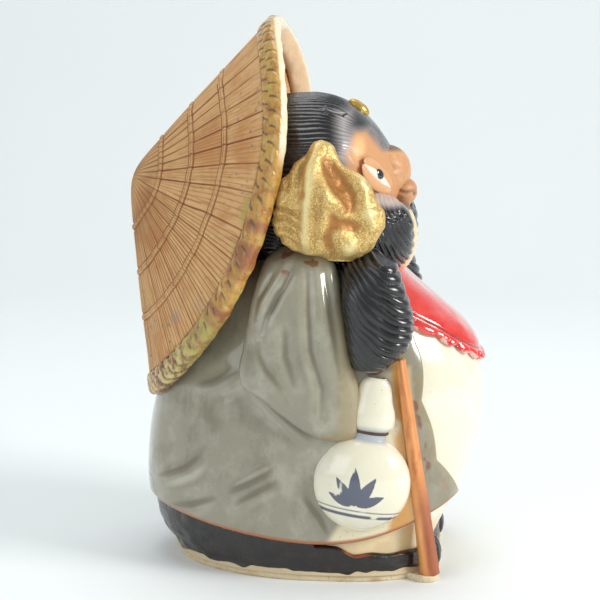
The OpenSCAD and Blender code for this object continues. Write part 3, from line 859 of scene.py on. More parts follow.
GLOSSY_CREAM = Finish("cream_glaze", (238, 232, 208), (
    cloud((246, 242, 224), 0.45, 0.7, 0.8, 16, 2),
    cloud((226, 212, 172), 0.58, 0.8, 0.45, 20, 5, stretch=(1, 1, 2)),
    tint("amber", (232, 206, 150), 0.1, 0.9, 0.8),
    tint("rust_and_painted_shadow", (160, 104, 50), 0.1, 1.0, 0.85),
    tint("groove", (96, 56, 34), 0.2, 0.9, 0.92),
    tint("blue", (120, 140, 178), 0.1, 1.0, 0.7),
    tint("brush", (52, 62, 96), 0.2, 0.75, 0.92),
    Layer(Field.SPECK, (150, 108, 66), 0.9, 0.95, 0.3, 4.5, seed=4)),
    (Grain(Field.CLOUD, 6.0, 0.1), Grain(Field.CLOUD, 0.9, 0.008, 7)), rough=0.14, rough_spread=0.04,
    coat=0.8)
FUR = Finish("fur_glaze", (24, 18, 17), (
    cloud((60, 34, 25), 0.5, 0.7, 0.7, 5, 2, stretch=(1.6, 1.6, 1)),
    cloud((16, 13, 14), 0.45, 0.65, 0.8, 9, 3),
    tint("crest", (84, 48, 32), 0.4, 1.0, 0.5),
    tint("groove", (10, 8, 9), 0.2, 1.0, 0.8),
    tint("rust_and_painted_shadow", (168, 84, 40), 0.3, 0.9, 0.9),
    tint("bare", (216, 196, 160), 0.35, 0.65, 0.95, rough=0.7, coat=0.0)),
    (Grain(Field.CLOUD, 3.0, 0.5), Grain(Field.CLOUD, 0.9, 0.08, 8)), rough=0.32, rough_spread=0.08,
    coat=0.4,
    coat_rough=0.1)
BARE_CLAY = Finish("bare_clay", (226, 210, 176), (
    cloud((206, 180, 138), 0.45, 0.7, 0.8, 9, 2),
    tint("rust_and_painted_shadow", (176, 120, 72), 0.3, 1.0, 0.7),
    Layer(Field.SPECK, (120, 88, 60), 0.8, 0.9, 0.5, 2.2, seed=4)),
    (Grain(Field.CLOUD, 1.4, 0.25),), rough=0.8, rough_spread=0.08)
COMBED = Finish("black_glaze", (15, 14, 17), (
    Layer(Field.STRAND, (38, 37, 42), 0.5, 0.75, 0.5, 2.2, seed=2),
    cloud((8, 8, 10), 0.45, 0.7, 0.8, 8, 3),
    # crest: the glaze thinning to grey on the comb crests, lifted partly as a painted sheen.
    tint("crest", (58, 58, 66), 0.3, 1.0, 0.5),
    tint("groove", (5, 5, 6), 0.2, 1.0, 0.8),
    tint("mask", (122, 114, 114), 0.03, 0.4, 0.85),
    tint("mask", (210, 152, 102), 0.3, 0.75, 0.95, rough=0.5, coat=0.1),
    # warm: a painted highlight on the brow of the face, and a lighter strip under the eye.
    tint("warm", (240, 188, 124), 0.2, 1.0, 0.9),
    tint("rust_and_painted_shadow", (120, 54, 30), 0.3, 1.0, 0.9),
    # pale: a painted sheen on the forehead beside the face, a painted highlight along the ear's lower rim,
    # and a paler tone on the jowls' tops.
    tint("pale", (206, 200, 198), 0.1, 1.0, 0.85)),
    (Grain(Field.STRAND, 1.4, 0.16), Grain(Field.CLOUD, 0.6, 0.03, 8)), rough=0.26, rough_spread=0.08,
    coat=0.6,
    coat_rough=0.1)
FACE = Finish("face_clay", (206, 150, 102), (
    cloud((224, 172, 118), 0.45, 0.7, 0.8, 7, 2),
    tint("rust_and_painted_shadow", (132, 78, 50), 0.2, 1.0, 0.85),
    tint("groove", (74, 64, 64), 0.2, 1.0, 0.85),
    tint("pale", (226, 172, 124), 0.2, 1.0, 0.8),
    Layer(Field.SPECK, (110, 62, 40), 0.84, 0.92, 0.3, 2.0, seed=4)),
    (Grain(Field.CLOUD, 1.8, 0.26), Grain(Field.CLOUD, 0.6, 0.06, 8)), rough=0.46, coat=0.15,
    coat_rough=0.25)
SCARLET = Finish("bib_glaze", (224, 38, 28), (
    cloud((236, 60, 44), 0.45, 0.7, 0.8, 9, 2),
    cloud((166, 12, 12), 0.54, 0.75, 0.6, 6, 3),
    tint("groove", (120, 8, 10), 0.2, 1.0, 0.8),
    # crest: painted highlights in patches on the bib and on the ruffle's pleat tops.
    tint("crest", (244, 112, 98), 0.4, 1.0, 0.55),
    # pale: painted glints along the ruffle's outer edge.
    tint("pale", (242, 206, 192), 0.3, 1.0, 0.75)),
    (Grain(Field.CLOUD, 4.0, 0.2), Grain(Field.CLOUD, 0.8, 0.02, 7)), rough=0.12, rough_spread=0.04,
    coat=1.0)
GOLD = Finish("gold_glaze", (206, 166, 92), (
    Layer(Field.FLAKE, (244, 224, 158), 0.5, 0.75, 0.7, 0.5, seed=2, rough=0.3),
    Layer(Field.FLAKE, (158, 108, 46), 0.66, 0.85, 0.6, 0.42, seed=3),
    cloud((230, 196, 122), 0.45, 0.7, 0.6, 6, 4),
    # crest: a painted highlight on the bundle's raised folds.
    tint("crest", (250, 234, 172), 0.15, 0.9, 0.8),
    # groove: painted shade in the bundle's hollows and gathered pleats.
    tint("groove", (150, 94, 36), 0.15, 0.9, 0.85, metal=0.3),
    # This layer paints an orange-brown shadow on the bundle beside its hollows and in the dimple.
    tint("rust_and_painted_shadow", (190, 128, 62), 0.15, 1.0, 0.7, metal=0.2)),
    (Grain(Field.FLAKE, 0.5, 0.1), Grain(Field.CLOUD, 1.2, 0.22, 8)), rough=0.42, metal=0.42)
BEAD = Finish("bead_gold", (196, 160, 76), (
    cloud((232, 206, 128), 0.45, 0.7, 0.8, 3, 4),
    tint("groove", (112, 80, 34), 0.15, 0.9, 0.8, metal=0.3)),
    (Grain(Field.CLOUD, 1.0, 0.05, 8),), rough=0.26, metal=0.6)
TERRACOTTA = Finish("terracotta_clay", (224, 148, 88), (
    cloud((242, 174, 114), 0.45, 0.7, 0.7, 8, 2, stretch=(1, 1, 3)),
    cloud((176, 98, 58), 0.54, 0.75, 0.6, 5, 3, stretch=(1, 1, 3)),
    tint("rust_and_painted_shadow", (150, 76, 56), 0.2, 0.9, 0.85),
    tint("warm", (196, 134, 60), 0.2, 0.9, 0.85, rough=0.2, coat=0.6),
    tint("groove", (110, 58, 36), 0.2, 1.0, 0.7)),
    (Grain(Field.CLOUD, 1.6, 0.14), Grain(Field.CLOUD, 0.5, 0.05, 8)), rough=0.6)
CORD_BROWN = Finish("cord_brown", (82, 52, 42), (
    cloud((50, 36, 40), 0.45, 0.7, 0.8, 3, 2),
    tint("groove", (40, 28, 30), 0.2, 1.0, 0.8)),
    (Grain(Field.CLOUD, 0.6, 0.06),), rough=0.35, coat=0.4)
EYE_WHITE = Finish("eye_white", (242, 236, 218), (
    cloud((250, 246, 236), 0.45, 0.7, 0.6, 4, 2),
    tint("rust_and_painted_shadow", (214, 150, 104), 0.2, 1.0, 0.8),
    tint("groove", (60, 44, 38), 0.3, 0.9, 0.8)),
    (Grain(Field.CLOUD, 2.0, 0.03),), rough=0.14, coat=0.8)
PUPIL_BLACK = Finish("pupil_black", (14, 12, 13), (
    cloud((34, 26, 24), 0.5, 0.75, 0.6, 2.5, 2),),
    (Grain(Field.CLOUD, 2.0, 0.02),), rough=0.1, coat=1.0)


class Kiln:
    """Makes the finished pieces: one material for each finish, one object for each piece."""

    def __init__(self) -> None:
        """Start with no material made."""
        self.materials: dict[str, bpy.types.Material] = {}

    def fire(self, name: str, casts: list[Cast], finish: Finish, nodes: tuple[str, ...] = (),
             slot: str = "") -> None:
        """Turn clay into a finished piece that rides on the root and stands for its CAD nodes.

        Args:
            name: the piece's name.
            casts: its clay, in mm.
            finish: its finish.
            nodes: CAD nodes that it replaces.
            slot: not used.
        """
        for cast in casts:
            if cast.volume() < 0:
                cast.faces = [face[:, ::-1] for face in cast.faces]
        clay = joined(casts)
        mesh = bpy.data.meshes.new(name)
        mesh.from_pydata((clay.points / 1000).tolist(), [],
                         [f for face in clay.faces for f in face.tolist()])
        mesh.polygons.foreach_set("use_smooth", np.ones(len(mesh.polygons), bool))
        for mark, values in clay.marks.items():
            kind, key = ("FLOAT_VECTOR", "vector") if values.ndim > 1 else ("FLOAT", "value")
            layer = mesh.attributes.new(mark, kind, "POINT")
            layer.data.foreach_set(key, np.ascontiguousarray(values, dtype=np.float32).ravel())
        mesh.update()
        if finish.name not in self.materials:
            self.materials[finish.name] = finish.material()
        mesh.materials.append(self.materials[finish.name])
        piece = bpy.data.objects.new(name, mesh)
        bpy.context.scene.collection.objects.link(piece)
        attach(piece, "root")
        if nodes:
            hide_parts(*nodes)
        log.info("%s: %d faces, replaces %s", name, len(mesh.polygons), ", ".join(nodes) or "nothing")


# The body's own form

@dataclass(frozen=True)
class BodyForm:
    """The body's skin and the lines that the robe and the fur follow on it."""

    middle_y: float = -9.0
    foot: float = 3.0
    neck: float = 150.0
    hem_low: float = 17.0
    hem_front: Point = (20.0, 62.5, 2.2)
    hem_back: Point = (11.0, 84.0, 1.5)
    rows: Rows = (
        (3, 50.5, 52, 68, 3.2), (14, 51.5, 52.5, 75.5, 3), (42, 51.5, 66.5, 79, 2.3),
        (74, 50, 74, 75, 2.2),
        (106, 46, 65.5, 65, 2.2), (133, 37, 36, 52, 2.1), (150, 20, 20, 20, 2))

    def reach(self, z: Array, column: int) -> Array:
        """Half width, front reach, back reach or squareness at a height."""
        return smooth_rows(np.array(self.rows, float), column, z)

    def point(self, z: Array, angle: Array, out: Array | float = 0.0) -> Array:
        """Points of the skin at a height and angle, pushed out by a distance."""
        x, y = oval(angle, self.reach(z, 1) + out, self.reach(z, 2) + out, self.reach(z, 3) + out,
                    self.reach(z, 4))
        return xyz(x, self.middle_y + y, z)

    def chest(self, x: Array, z: Array, out: Array | float) -> Array:
        """Front y of the skin over a place in the front view: y = -f (1 - |x / w| ^ n) ^ (1 / n).

        Args:
            x: places from side to side.
            z: their heights.
            out: distance off the skin.

        Returns:
            The y.
        """
        w, f, n = self.reach(z, 1) + out, self.reach(z, 2) + out, self.reach(z, 4)
        share = unit(1 - (np.abs(x) / w) ** n)
        return self.middle_y - f * share ** (1 / n)

    def hem(self, y: Array) -> Array:
        """Height of the robe's lower edge: lowest at the sides, rising as a power of the distance each way.

        Args:
            y: places from front to back.

        Returns:
            The heights.
        """
        def climb(reach: Array, rise: float, span: float, power: float) -> Array:
            """Rise over a distance from the middle."""
            return self.hem_low + rise * (np.clip(reach, 0, None) / span) ** power
        front, back = climb(self.middle_y - y, *self.hem_front), climb(y - self.middle_y, *self.hem_back)
        return np.where(y < self.middle_y, front, back)


FORM = BodyForm()


@dataclass
class Base:
    """Bare clay rim, dark fur skirt, feet and tail."""

    fur: float = 2.5
    rim_edge: Point = (52.0, 53.5, 69.5)
    rim_hole: Point = (45.5, 47.0, 63.0)
    rim_round: float = 0.9
    rim_square: float = 3.2
    staff_pad: Point = (-44.0, -58.5, 5.7)
    skirt_top: float = 17.0
    skirt_dip: float = 4.5
    over_hem: float = 3.0
    feet_x: float = 25.0
    feet_y: float = -52.5
    feet_z: float = 7.0
    foot_reach: float = 12.5
    foot_room: float = 11.5
    tail_length: float = 32.0
    tail_thick: float = 8.0
    tail_thin: float = 4.0
    tail_at: Point = (13.0, 218.0, -14.0)
    tail_strands: int = 9

    def rim(self) -> Cast:
        """Flat rim: the outline is the farthest of the base's squared oval, the feet and the staff's pad.

        A small profile with rounded edges is carried round it, in to the hole.

        Returns:
            The clay.
        """
        angle = turns(count(600))
        way = np.stack([-np.sin(angle), -np.cos(angle)], -1)

        def ring(half: float, front: float, back: float) -> Array:
            """Distance of the squared oval along each way.

            Args:
                half: reach to the sides.
                front: reach to the front.
                back: reach to the back.

            Returns:
                The distances.
            """
            n = np.where(way[:, 1] < 0, self.rim_square, 2.0)
            reach = np.where(way[:, 1] < 0, front, back)
            return ((np.abs(way[:, 0]) / half) ** n + (np.abs(way[:, 1]) / reach) ** n) ** (-1 / n)

        def disc(x: float, y: float, radius: float) -> Array:
            """Farthest distance along each way that still touches a disc.

            Args:
                x: its middle's x.
                y: its middle's y.
                radius: its radius.

            Returns:
                The distances.
            """
            centre = np.array([x, y - FORM.middle_y])
            along = way @ centre
            room = along**2 + radius**2 - centre @ centre
            return np.where((room > 0) & (along > 0), along + np.sqrt(np.clip(room, 0, None)), 0)

        feet = [disc(side * self.feet_x, self.feet_y, self.foot_room) for side in (-1, 1)]
        edge = np.maximum.reduce([ring(*self.rim_edge), *feet, disc(*self.staff_pad)])
        hole = ring(*self.rim_hole)
        half = FORM.foot / 2
        outer = [(1.0, half + half * math.sin(t), self.rim_round * math.cos(t) - self.rim_round)
                 for t in np.linspace(-np.pi / 2, np.pi / 2, 9)]
        profile = [(0.0, 0.0), (0.5, 0.0), *outer, (0.5, FORM.foot), (0.0, FORM.foot)]
        rows = []
        for share, z, *inset in profile:
            r = hole + (edge - hole) * share + (inset[0] if inset else 0.0)
            rows.append(xyz(way[:, 0] * r, FORM.middle_y + way[:, 1] * r, np.full(len(r), z)))
        grid = np.array(rows)
        bumps = 0.25 * rumple(grid, 6, 11) * fade(grid[..., 2], 0.2, 1.0)
        return tube(raised(grid, bumps, looped=True), {"rust_and_painted_shadow": unit(rumple(grid, 9, 12))}, looped=True)

    def skirt(self) -> Cast:
        """Fur round the base: the body's skin pushed out, lumpy, with an uneven lower and upper glaze line.

        Returns:
            The clay.
        """
        angle = columns_of(640)
        t = rows_of(60)
        y = FORM.point(np.full(angle.shape, 20.0), angle, self.fur)[..., 1]
        wave = 1.2 * rumple(xyz(40 * np.cos(angle), 40 * np.sin(angle), 0), 7, 21)
        front = self.skirt_top - self.skirt_dip * fade(-y, 18, 28) + wave
        top = np.where(y < FORM.middle_y, front, FORM.hem(y) + self.over_hem)
        z = FORM.foot + t * (top - FORM.foot)
        out = self.fur * np.sqrt(np.clip(1 - unit((t - 0.86) / 0.14) ** 2, 0.02, 1))
        grid = FORM.point(z, angle, out)
        lumps = rumple(grid, 9, 22) * 0.9 + strand_noise(grid, (7, 7, 3.5), 23) * 0.45
        hold = fade(t, 0.0, 0.2) * fade(1 - t, 0.0, 0.12)
        outer = raised(grid, (lumps - 0.35) * hold)
        inner = FORM.point(z, angle, -0.6)
        rows = np.concatenate([outer, inner[::-1]])
        low = FORM.foot + 2.0 + 1.6 * rumple(grid * np.array([1, 1, 0]), 8, 24)
        bare = 1 - fade(grid[..., 2], low - 0.3, low + 0.3)
        marks = {"crest": unit(lumps) * 0.7, "groove": unit(-lumps), "bare": bare,
                 "rust_and_painted_shadow": 0.7 * fade(grid[..., 2], top - 1.8, top - 0.4)
                 * fade(rumple(grid, 6, 25), -0.6, 0.6)}
        return tube(rows, there_and_back(marks), looped=True)

    def foot(self) -> Cast:
        """Right foot: an egg cut flat below, with furrows between its toes.

        Returns:
            The clay.
        """
        r = self.foot_reach
        grid = Lump((-self.feet_x, self.feet_y, self.feet_z), r, r, r, r - 1.5, r - 0.5).grid(60, 120)
        across = (grid[..., 0] + self.feet_x) / r
        front = fade(self.feet_y - grid[..., 1], 2, 9)
        toes = bell(across - np.round(across * 2) / 2, 0.07) * front * (np.abs(across) < 0.7)
        lumps = 0.3 * rumple(grid, 5, 31)
        grid = raised(grid, lumps - 1.0 * toes)
        grid[..., 2] = np.maximum(grid[..., 2], FORM.foot)
        return tube(grid, {"groove": toes, "crest": unit(lumps * 2)})

    def tail(self) -> Cast:
        """Tail: a blunt spindle laid across the left of the back, combed along its length.

        Returns:
            The clay.
        """
        height, aside, roll = self.tail_at
        place = FORM.point(np.array(height), np.array(math.radians(aside)), self.fur)
        t = rows_of(80)
        angle = columns_of(120)
        thick, thin, half = self.tail_thick, self.tail_thin, self.tail_length / 2
        root, end = thick - half, half - thin
        along = -half + 2 * half * (0.5 - 0.5 * np.cos(np.pi * np.clip(t, 0.01, 0.99)))
        butt = np.sqrt(np.clip(thick**2 - (along - root) ** 2, 0, None))
        tip = np.sqrt(np.clip(thin**2 - np.clip(along - end, 0, None) ** 2, 0.01, None))
        cone = thick + (thin - thick) * unit((along - root) / (end - root))
        r = np.where(along < root, butt, np.where(along > end, tip, cone))
        local = xyz(r * np.cos(angle), along, 0.6 * r * np.sin(angle))
        ends = fade(t, 0.02, 0.2) * fade(1 - t, 0.02, 0.2)
        groove = comb(self.tail_strands * angle + 2.0 * np.sin(along / 7)) * ends
        grid = facing(place, np.array([place[0], place[1] - FORM.middle_y, 0.0]), roll, local)
        return tube(raised(grid, -0.6 * groove), {"groove": groove, "crest": 0.7 * (1 - groove)})

    def build(self, kiln: Kiln) -> None:
        """Make and finish the pieces of the base.

        Args:
            kiln: where the pieces are fired.
        """
        kiln.fire("base_rim", [self.rim()], BARE_CLAY, ("foot_rim",))
        kiln.fire("base_fur", [self.skirt()], FUR, ("fur_skirt",))
        foot = self.foot()
        kiln.fire("foot_on_right", [foot], FUR, ("right_foot",))
        kiln.fire("foot_on_left", [foot.mirrored()], FUR, ("left_foot",))
        kiln.fire("tail_fur", [self.tail()], FUR, ("tail",))


@dataclass
class Belly:
    """Cream body under the robe, hollow and open below."""

    wall: float = 5.0
    navel_z: float = 66.0
    navel_wide: float = 3.2
    navel_high: float = 3.6
    navel_deep: float = 1.6

    def skin(self) -> Cast:
        """Outer skin with a dimple at the navel, and the inner wall, as one closed loop of rings.

        Returns:
            The clay.
        """
        angle = columns_of(420)
        z = np.linspace(FORM.foot, FORM.neck, count(190))[:, None]
        grid = FORM.point(z, angle, 0.0)
        navel = mound((grid[..., 0], self.navel_wide), (grid[..., 2] - self.navel_z, self.navel_high))
        navel = navel * (grid[..., 1] < -40)
        outer = raised(grid, 0.25 * rumple(grid, 22, 41) - self.navel_deep * navel)
        deep = np.linspace(FORM.neck, FORM.foot, count(40))[:, None]
        inner = FORM.point(deep, angle, -self.wall)
        side = fade(np.abs(grid[..., 0]), 33, 43) * (grid[..., 1] < -20)
        stain = side * fade(rumple(grid, 8, 42), -0.3, 0.5)
        low = 1 - fade(grid[..., 2], 19, 30)
        marks = {"rust_and_painted_shadow": unit(0.4 * stain), "amber": low, "groove": 0.5 * navel}
        joins = {k: np.concatenate([v, np.broadcast_to(v[-1:] * 0, (len(deep), v.shape[1]))])
                 for k, v in marks.items()}
        return tube(np.concatenate([outer, inner]), joins, looped=True)

    def build(self, kiln: Kiln) -> None:
        """Make and finish the body."""
        kiln.fire("belly_and_body", [self.skin()], GLOSSY_CREAM, ("torso",))


@dataclass
class Robe:
    """Celadon robe, open in front, with its folds."""

    thick: float = 5.0
    edge_round: float = 2.6
    half_round: float = 190.0
    flare: float = 3.0
    flare_side: Pair = (38.0, 15.0)
    flare_up: Pair = (37.0, 69.0)
    gap: Line = ((0, 26), (29, 26), (37, 30), (55, 42), (82, 45), (106, 41), (125, 36), (150, 16))
    folds: tuple[Fold, ...] = (
        Fold(((67.5, 39.3), (58, 43.4), (50.5, 47.4), (41.1, 56.1)), 2.2, 1.5, 0.9),
        Fold(((31, 38.5), (20.2, 44.4), (7.6, 52)), 2.4, 1.0, 0.6),
        Fold(((27.4, 34), (16.6, 40.8), (6, 47)), 2.2, 0.8, 0.5),
        Fold(((47.1, 84.7), (37.2, 87.6), (24.3, 95.1)), 2.6, 1.2, 0.6),
        Fold(((20.3, 90.7), (7.9, 78.4), (-8.9, 64.4)), 2.4, 1.4, 0.5),
        Fold(((60, 28), (48, 31), (34, 37)), 2.4, 0.8, 0.5),
        Fold(((-14, 60), (-22, 44), (-30, 30)), 2.6, 1.0, 0.6),
        Fold(((-4, 40), (-12, 30), (-16, 22)), 2.2, 0.7, 0.4))
    cream: Line = (
        (-12, 14), (-20, 27), (-36, 34), (-40, 60), (-38, 95), (-50, 97), (-52, 70), (-56, 45), (-60, 20),
        (-60, 10))
    amber: Line = (
        (-43, 99), (-49, 97), (-49, 73), (-51, 50), (-53, 28), (-57, 9), (-40, 9), (-44, 37), (-46, 50),
        (-44, 69))
    burnt: Line = ((-51.5, 84), (-54, 82), (-57.5, 66), (-60.5, 52), (-57.5, 49), (-55, 64))
    tan: Line = ((-63, 49), (-68, 46), (-69, 39), (-64, 40))

    def sheet(self) -> Cast:
        """Robe as a sheet from one front edge round the back to the other.

        Rows run from the hem up, columns from edge to edge. The outer skin is the body's, pushed out by the
        thickness and the hem corner's flare, and falls to the inner one as a quarter round at each edge.

        Returns:
            The clay.
        """
        t = rows_of(150)
        v = np.linspace(-1, 1, count(620))[None, :]
        heights, widths = np.array(self.gap, float).T

        def angle_at(z: Array) -> Array:
            """Angle of a column, from the front edge, where the oval is as wide as the gap, round the back.

            Args:
                z: heights.

            Returns:
                The angles.
            """
            w, n = FORM.reach(z, 1) + self.thick, FORM.reach(z, 4)
            edge = np.arcsin(np.clip(np.interp(z, heights, widths) / w, 0, 0.98) ** (n / 2))
            return np.pi - (np.pi - edge) * v

        def flare_at(z: Array, angle: Array) -> Array:
            """Bell-shaped swell about the hem's corner, fading up the body.

            Args:
                z: heights.
                angle: ways round.

            Returns:
                The swell in mm.
            """
            from_front = np.degrees(np.minimum(angle, 2 * np.pi - angle))
            (side, wide), (middle, high) = self.flare_side, self.flare_up
            return (self.flare * bell(from_front - side, wide)
                    * np.clip(1 - np.abs(z - middle) / high, 0, None))

        low = np.full((1, v.shape[1]), 25.0)
        for _ in range(4):
            corner = FORM.point(low, angle_at(low), self.thick)
            low = FORM.hem(corner[..., 1])
        z = low + t * (FORM.neck - 1 - low)
        angle = angle_at(z)
        base = FORM.point(z, angle, self.thick + flare_at(z, angle))
        y, height = base[..., 1], base[..., 2]
        inward = (1 - np.abs(v)) * self.half_round
        from_edge = np.minimum(np.minimum(height - low, inward), 9.0)
        round_off = np.sqrt(unit(1 - (1 - np.clip(from_edge / self.edge_round, 0.02, 1)) ** 2))
        relief = sum(fold.height(y, height) for fold in self.folds)
        shade = sum(fold.shade(y, height) for fold in self.folds)
        drape = 0.5 * strand_noise(base, (16, 16, 40), 51) + 0.2 * rumple(base, 12, 52)
        lift = (relief + drape) * fade(from_edge, 0.5, 6)
        inner = FORM.point(z, angle, -0.5)
        whole = raised(base, lift, closed=False)
        outer = inner + (whole - inner) * round_off[..., None]
        hem = bell(height - low - 0.8, 2.1)
        front = fade(inward, 0, 1) * (1 - fade(inward, 3, 9)) * (height < 95)
        spots = fade(rumple(base, 4, 53), 0.15, 0.6)
        olive = inside_area(y, height, ((72, 55), (58, 55), (58, 70), (72, 70)), 6)
        right = fade(-base[..., 0], 0, 20)
        stain = rumple(base, 9, 54)
        cream = inside_area(y, height, self.cream, 4.0) * fade(stain, -1.2, -0.3) * right
        amber = inside_area(y, height, self.amber, 4.0) * fade(stain, -1.1, 0.0) * right
        burnt = inside_area(y, height, self.burnt, 2.0) * fade(rumple(base, 3.5, 55), -0.7, 0.3) * right
        singed = inside_area(y, height, self.tan, 3.0) * right
        marks = {"groove": unit(shade), "crest": unit(relief + 0.35 * drape),
                 "warm": unit(0.5 * front + 0.7 * olive * spots + 0.2 * fade(-y, 20, 50)),
                 "pale": cream, "amber": amber, "scorch": burnt,
                 "rust_and_painted_shadow": unit(1.2 * hem + front * spots * 0.4 + 0.45 * singed)}
        return walled(outer, inner, marks)

    def build(self, kiln: Kiln) -> None:
        """Make and finish the robe."""
        kiln.fire("open_robe", [self.sheet()], CELADON, ("robe",))


@dataclass
class Bib:
    """Red bib over the chest, with its ruffle."""

    middle_z: float = 135.0
    radius: float = 42.0
    band: float = 4.5
    thick: float = 3.0
    lobes: int = 17
    pleats: int = 51
    lobe_deep: float = 1.9
    pleat_deep: float = 1.9

    def place(self, angle: Array, radius: Array, out: Array | float) -> Array:
        """Point over the chest at an angle from the lowest place and a radius in the front view.

        Args:
            angle: ways round.
            radius: distances from the middle.
            out: distance off the chest.

        Returns:
            The points.
        """
        z = np.minimum(self.middle_z - radius * np.cos(angle), FORM.neck - 0.5)
        x = np.clip(radius * np.sin(angle), -0.97 * FORM.reach(z, 1), 0.97 * FORM.reach(z, 1))
        return xyz(x, FORM.chest(x, z, out), z)

    def cloth(self) -> Cast:
        """Disc wrapped over the chest: rings from its middle out, round the edge and back in behind.

        Returns:
            The clay.
        """
        angle = columns_of(360)
        edge = self.radius - self.band + 0.6
        share = np.linspace(0.02, 1, count(80))[:, None]
        round_off = np.sqrt(np.clip(1 - unit((share - 0.94) / 0.06) ** 2, 0.02, 1))
        front = self.place(angle, edge * share, self.thick * round_off)
        swell = 0.5 * rumple(front, 13, 61) - 0.5 * bell(share - 0.93, 0.03)
        groove = bell(share - 0.95, 0.025) + 0 * angle
        front = raised(front, swell * fade(1 - share, 0, 0.05))
        back = self.place(angle, edge * share[::-1], -0.6)
        # The crest mark paints patches of highlight over the bib.
        marks = {"groove": groove, "crest": 0.8 * fade(rumple(front, 9, 62), 0.0, 0.7)}
        return tube(np.concatenate([front, back]), there_and_back(marks))

    def ruffle(self) -> Cast:
        """Ruffle: a flat oval section carried round the bib's edge, swelling and sinking in uneven pleats.

        Returns:
            The clay.
        """
        angle = columns_of(900)
        turn = turns(count(36))[:, None]
        wander = 1.3 * lattice_noise(xyz(30 * np.cos(angle), 30 * np.sin(angle), 0), 5, 63)
        lobe = np.abs(np.cos(self.lobes * angle + 0.5 * wander))
        pleat = comb(self.pleats * angle + 3.4 * wander)
        outer = self.radius - self.lobe_deep * (1 - lobe)
        inner = self.radius - self.band - 0.6
        radius = (outer + inner) / 2 + (outer - inner) / 2 * np.cos(turn)
        rise = 1.7 + 1.9 * np.sin(turn) * (0.75 + 0.25 * lobe)
        reach = (radius - inner) / (outer - inner)
        out = rise - self.pleat_deep * pleat * reach * unit(np.sin(turn))
        grid = self.place(angle, radius - 0.35 * pleat * unit(np.cos(turn)), out)
        marks = {"groove": pleat * reach * 0.9,
                 # crest paints a highlight on the pleat tops, pale paints glints along the outer edge.
                 "crest": fade(1 - pleat, 0.7, 1.0) * fade(reach, 0.5, 0.95) * 0.9,
                 "pale": fade(reach, 0.6, 0.95) * fade(rumple(grid, 2.4, 64), -0.2, 0.3)}
        return tube(grid, {k: v + 0 * turn for k, v in marks.items()}, looped=True)

    def build(self, kiln: Kiln) -> None:
        """Make and finish the bib and its ruffle."""
        kiln.fire("bib_cloth", [self.cloth()], SCARLET, ("bib",))
        kiln.fire("bib_edge_ruffle", [self.ruffle()], SCARLET, ("bib_ruffle",))


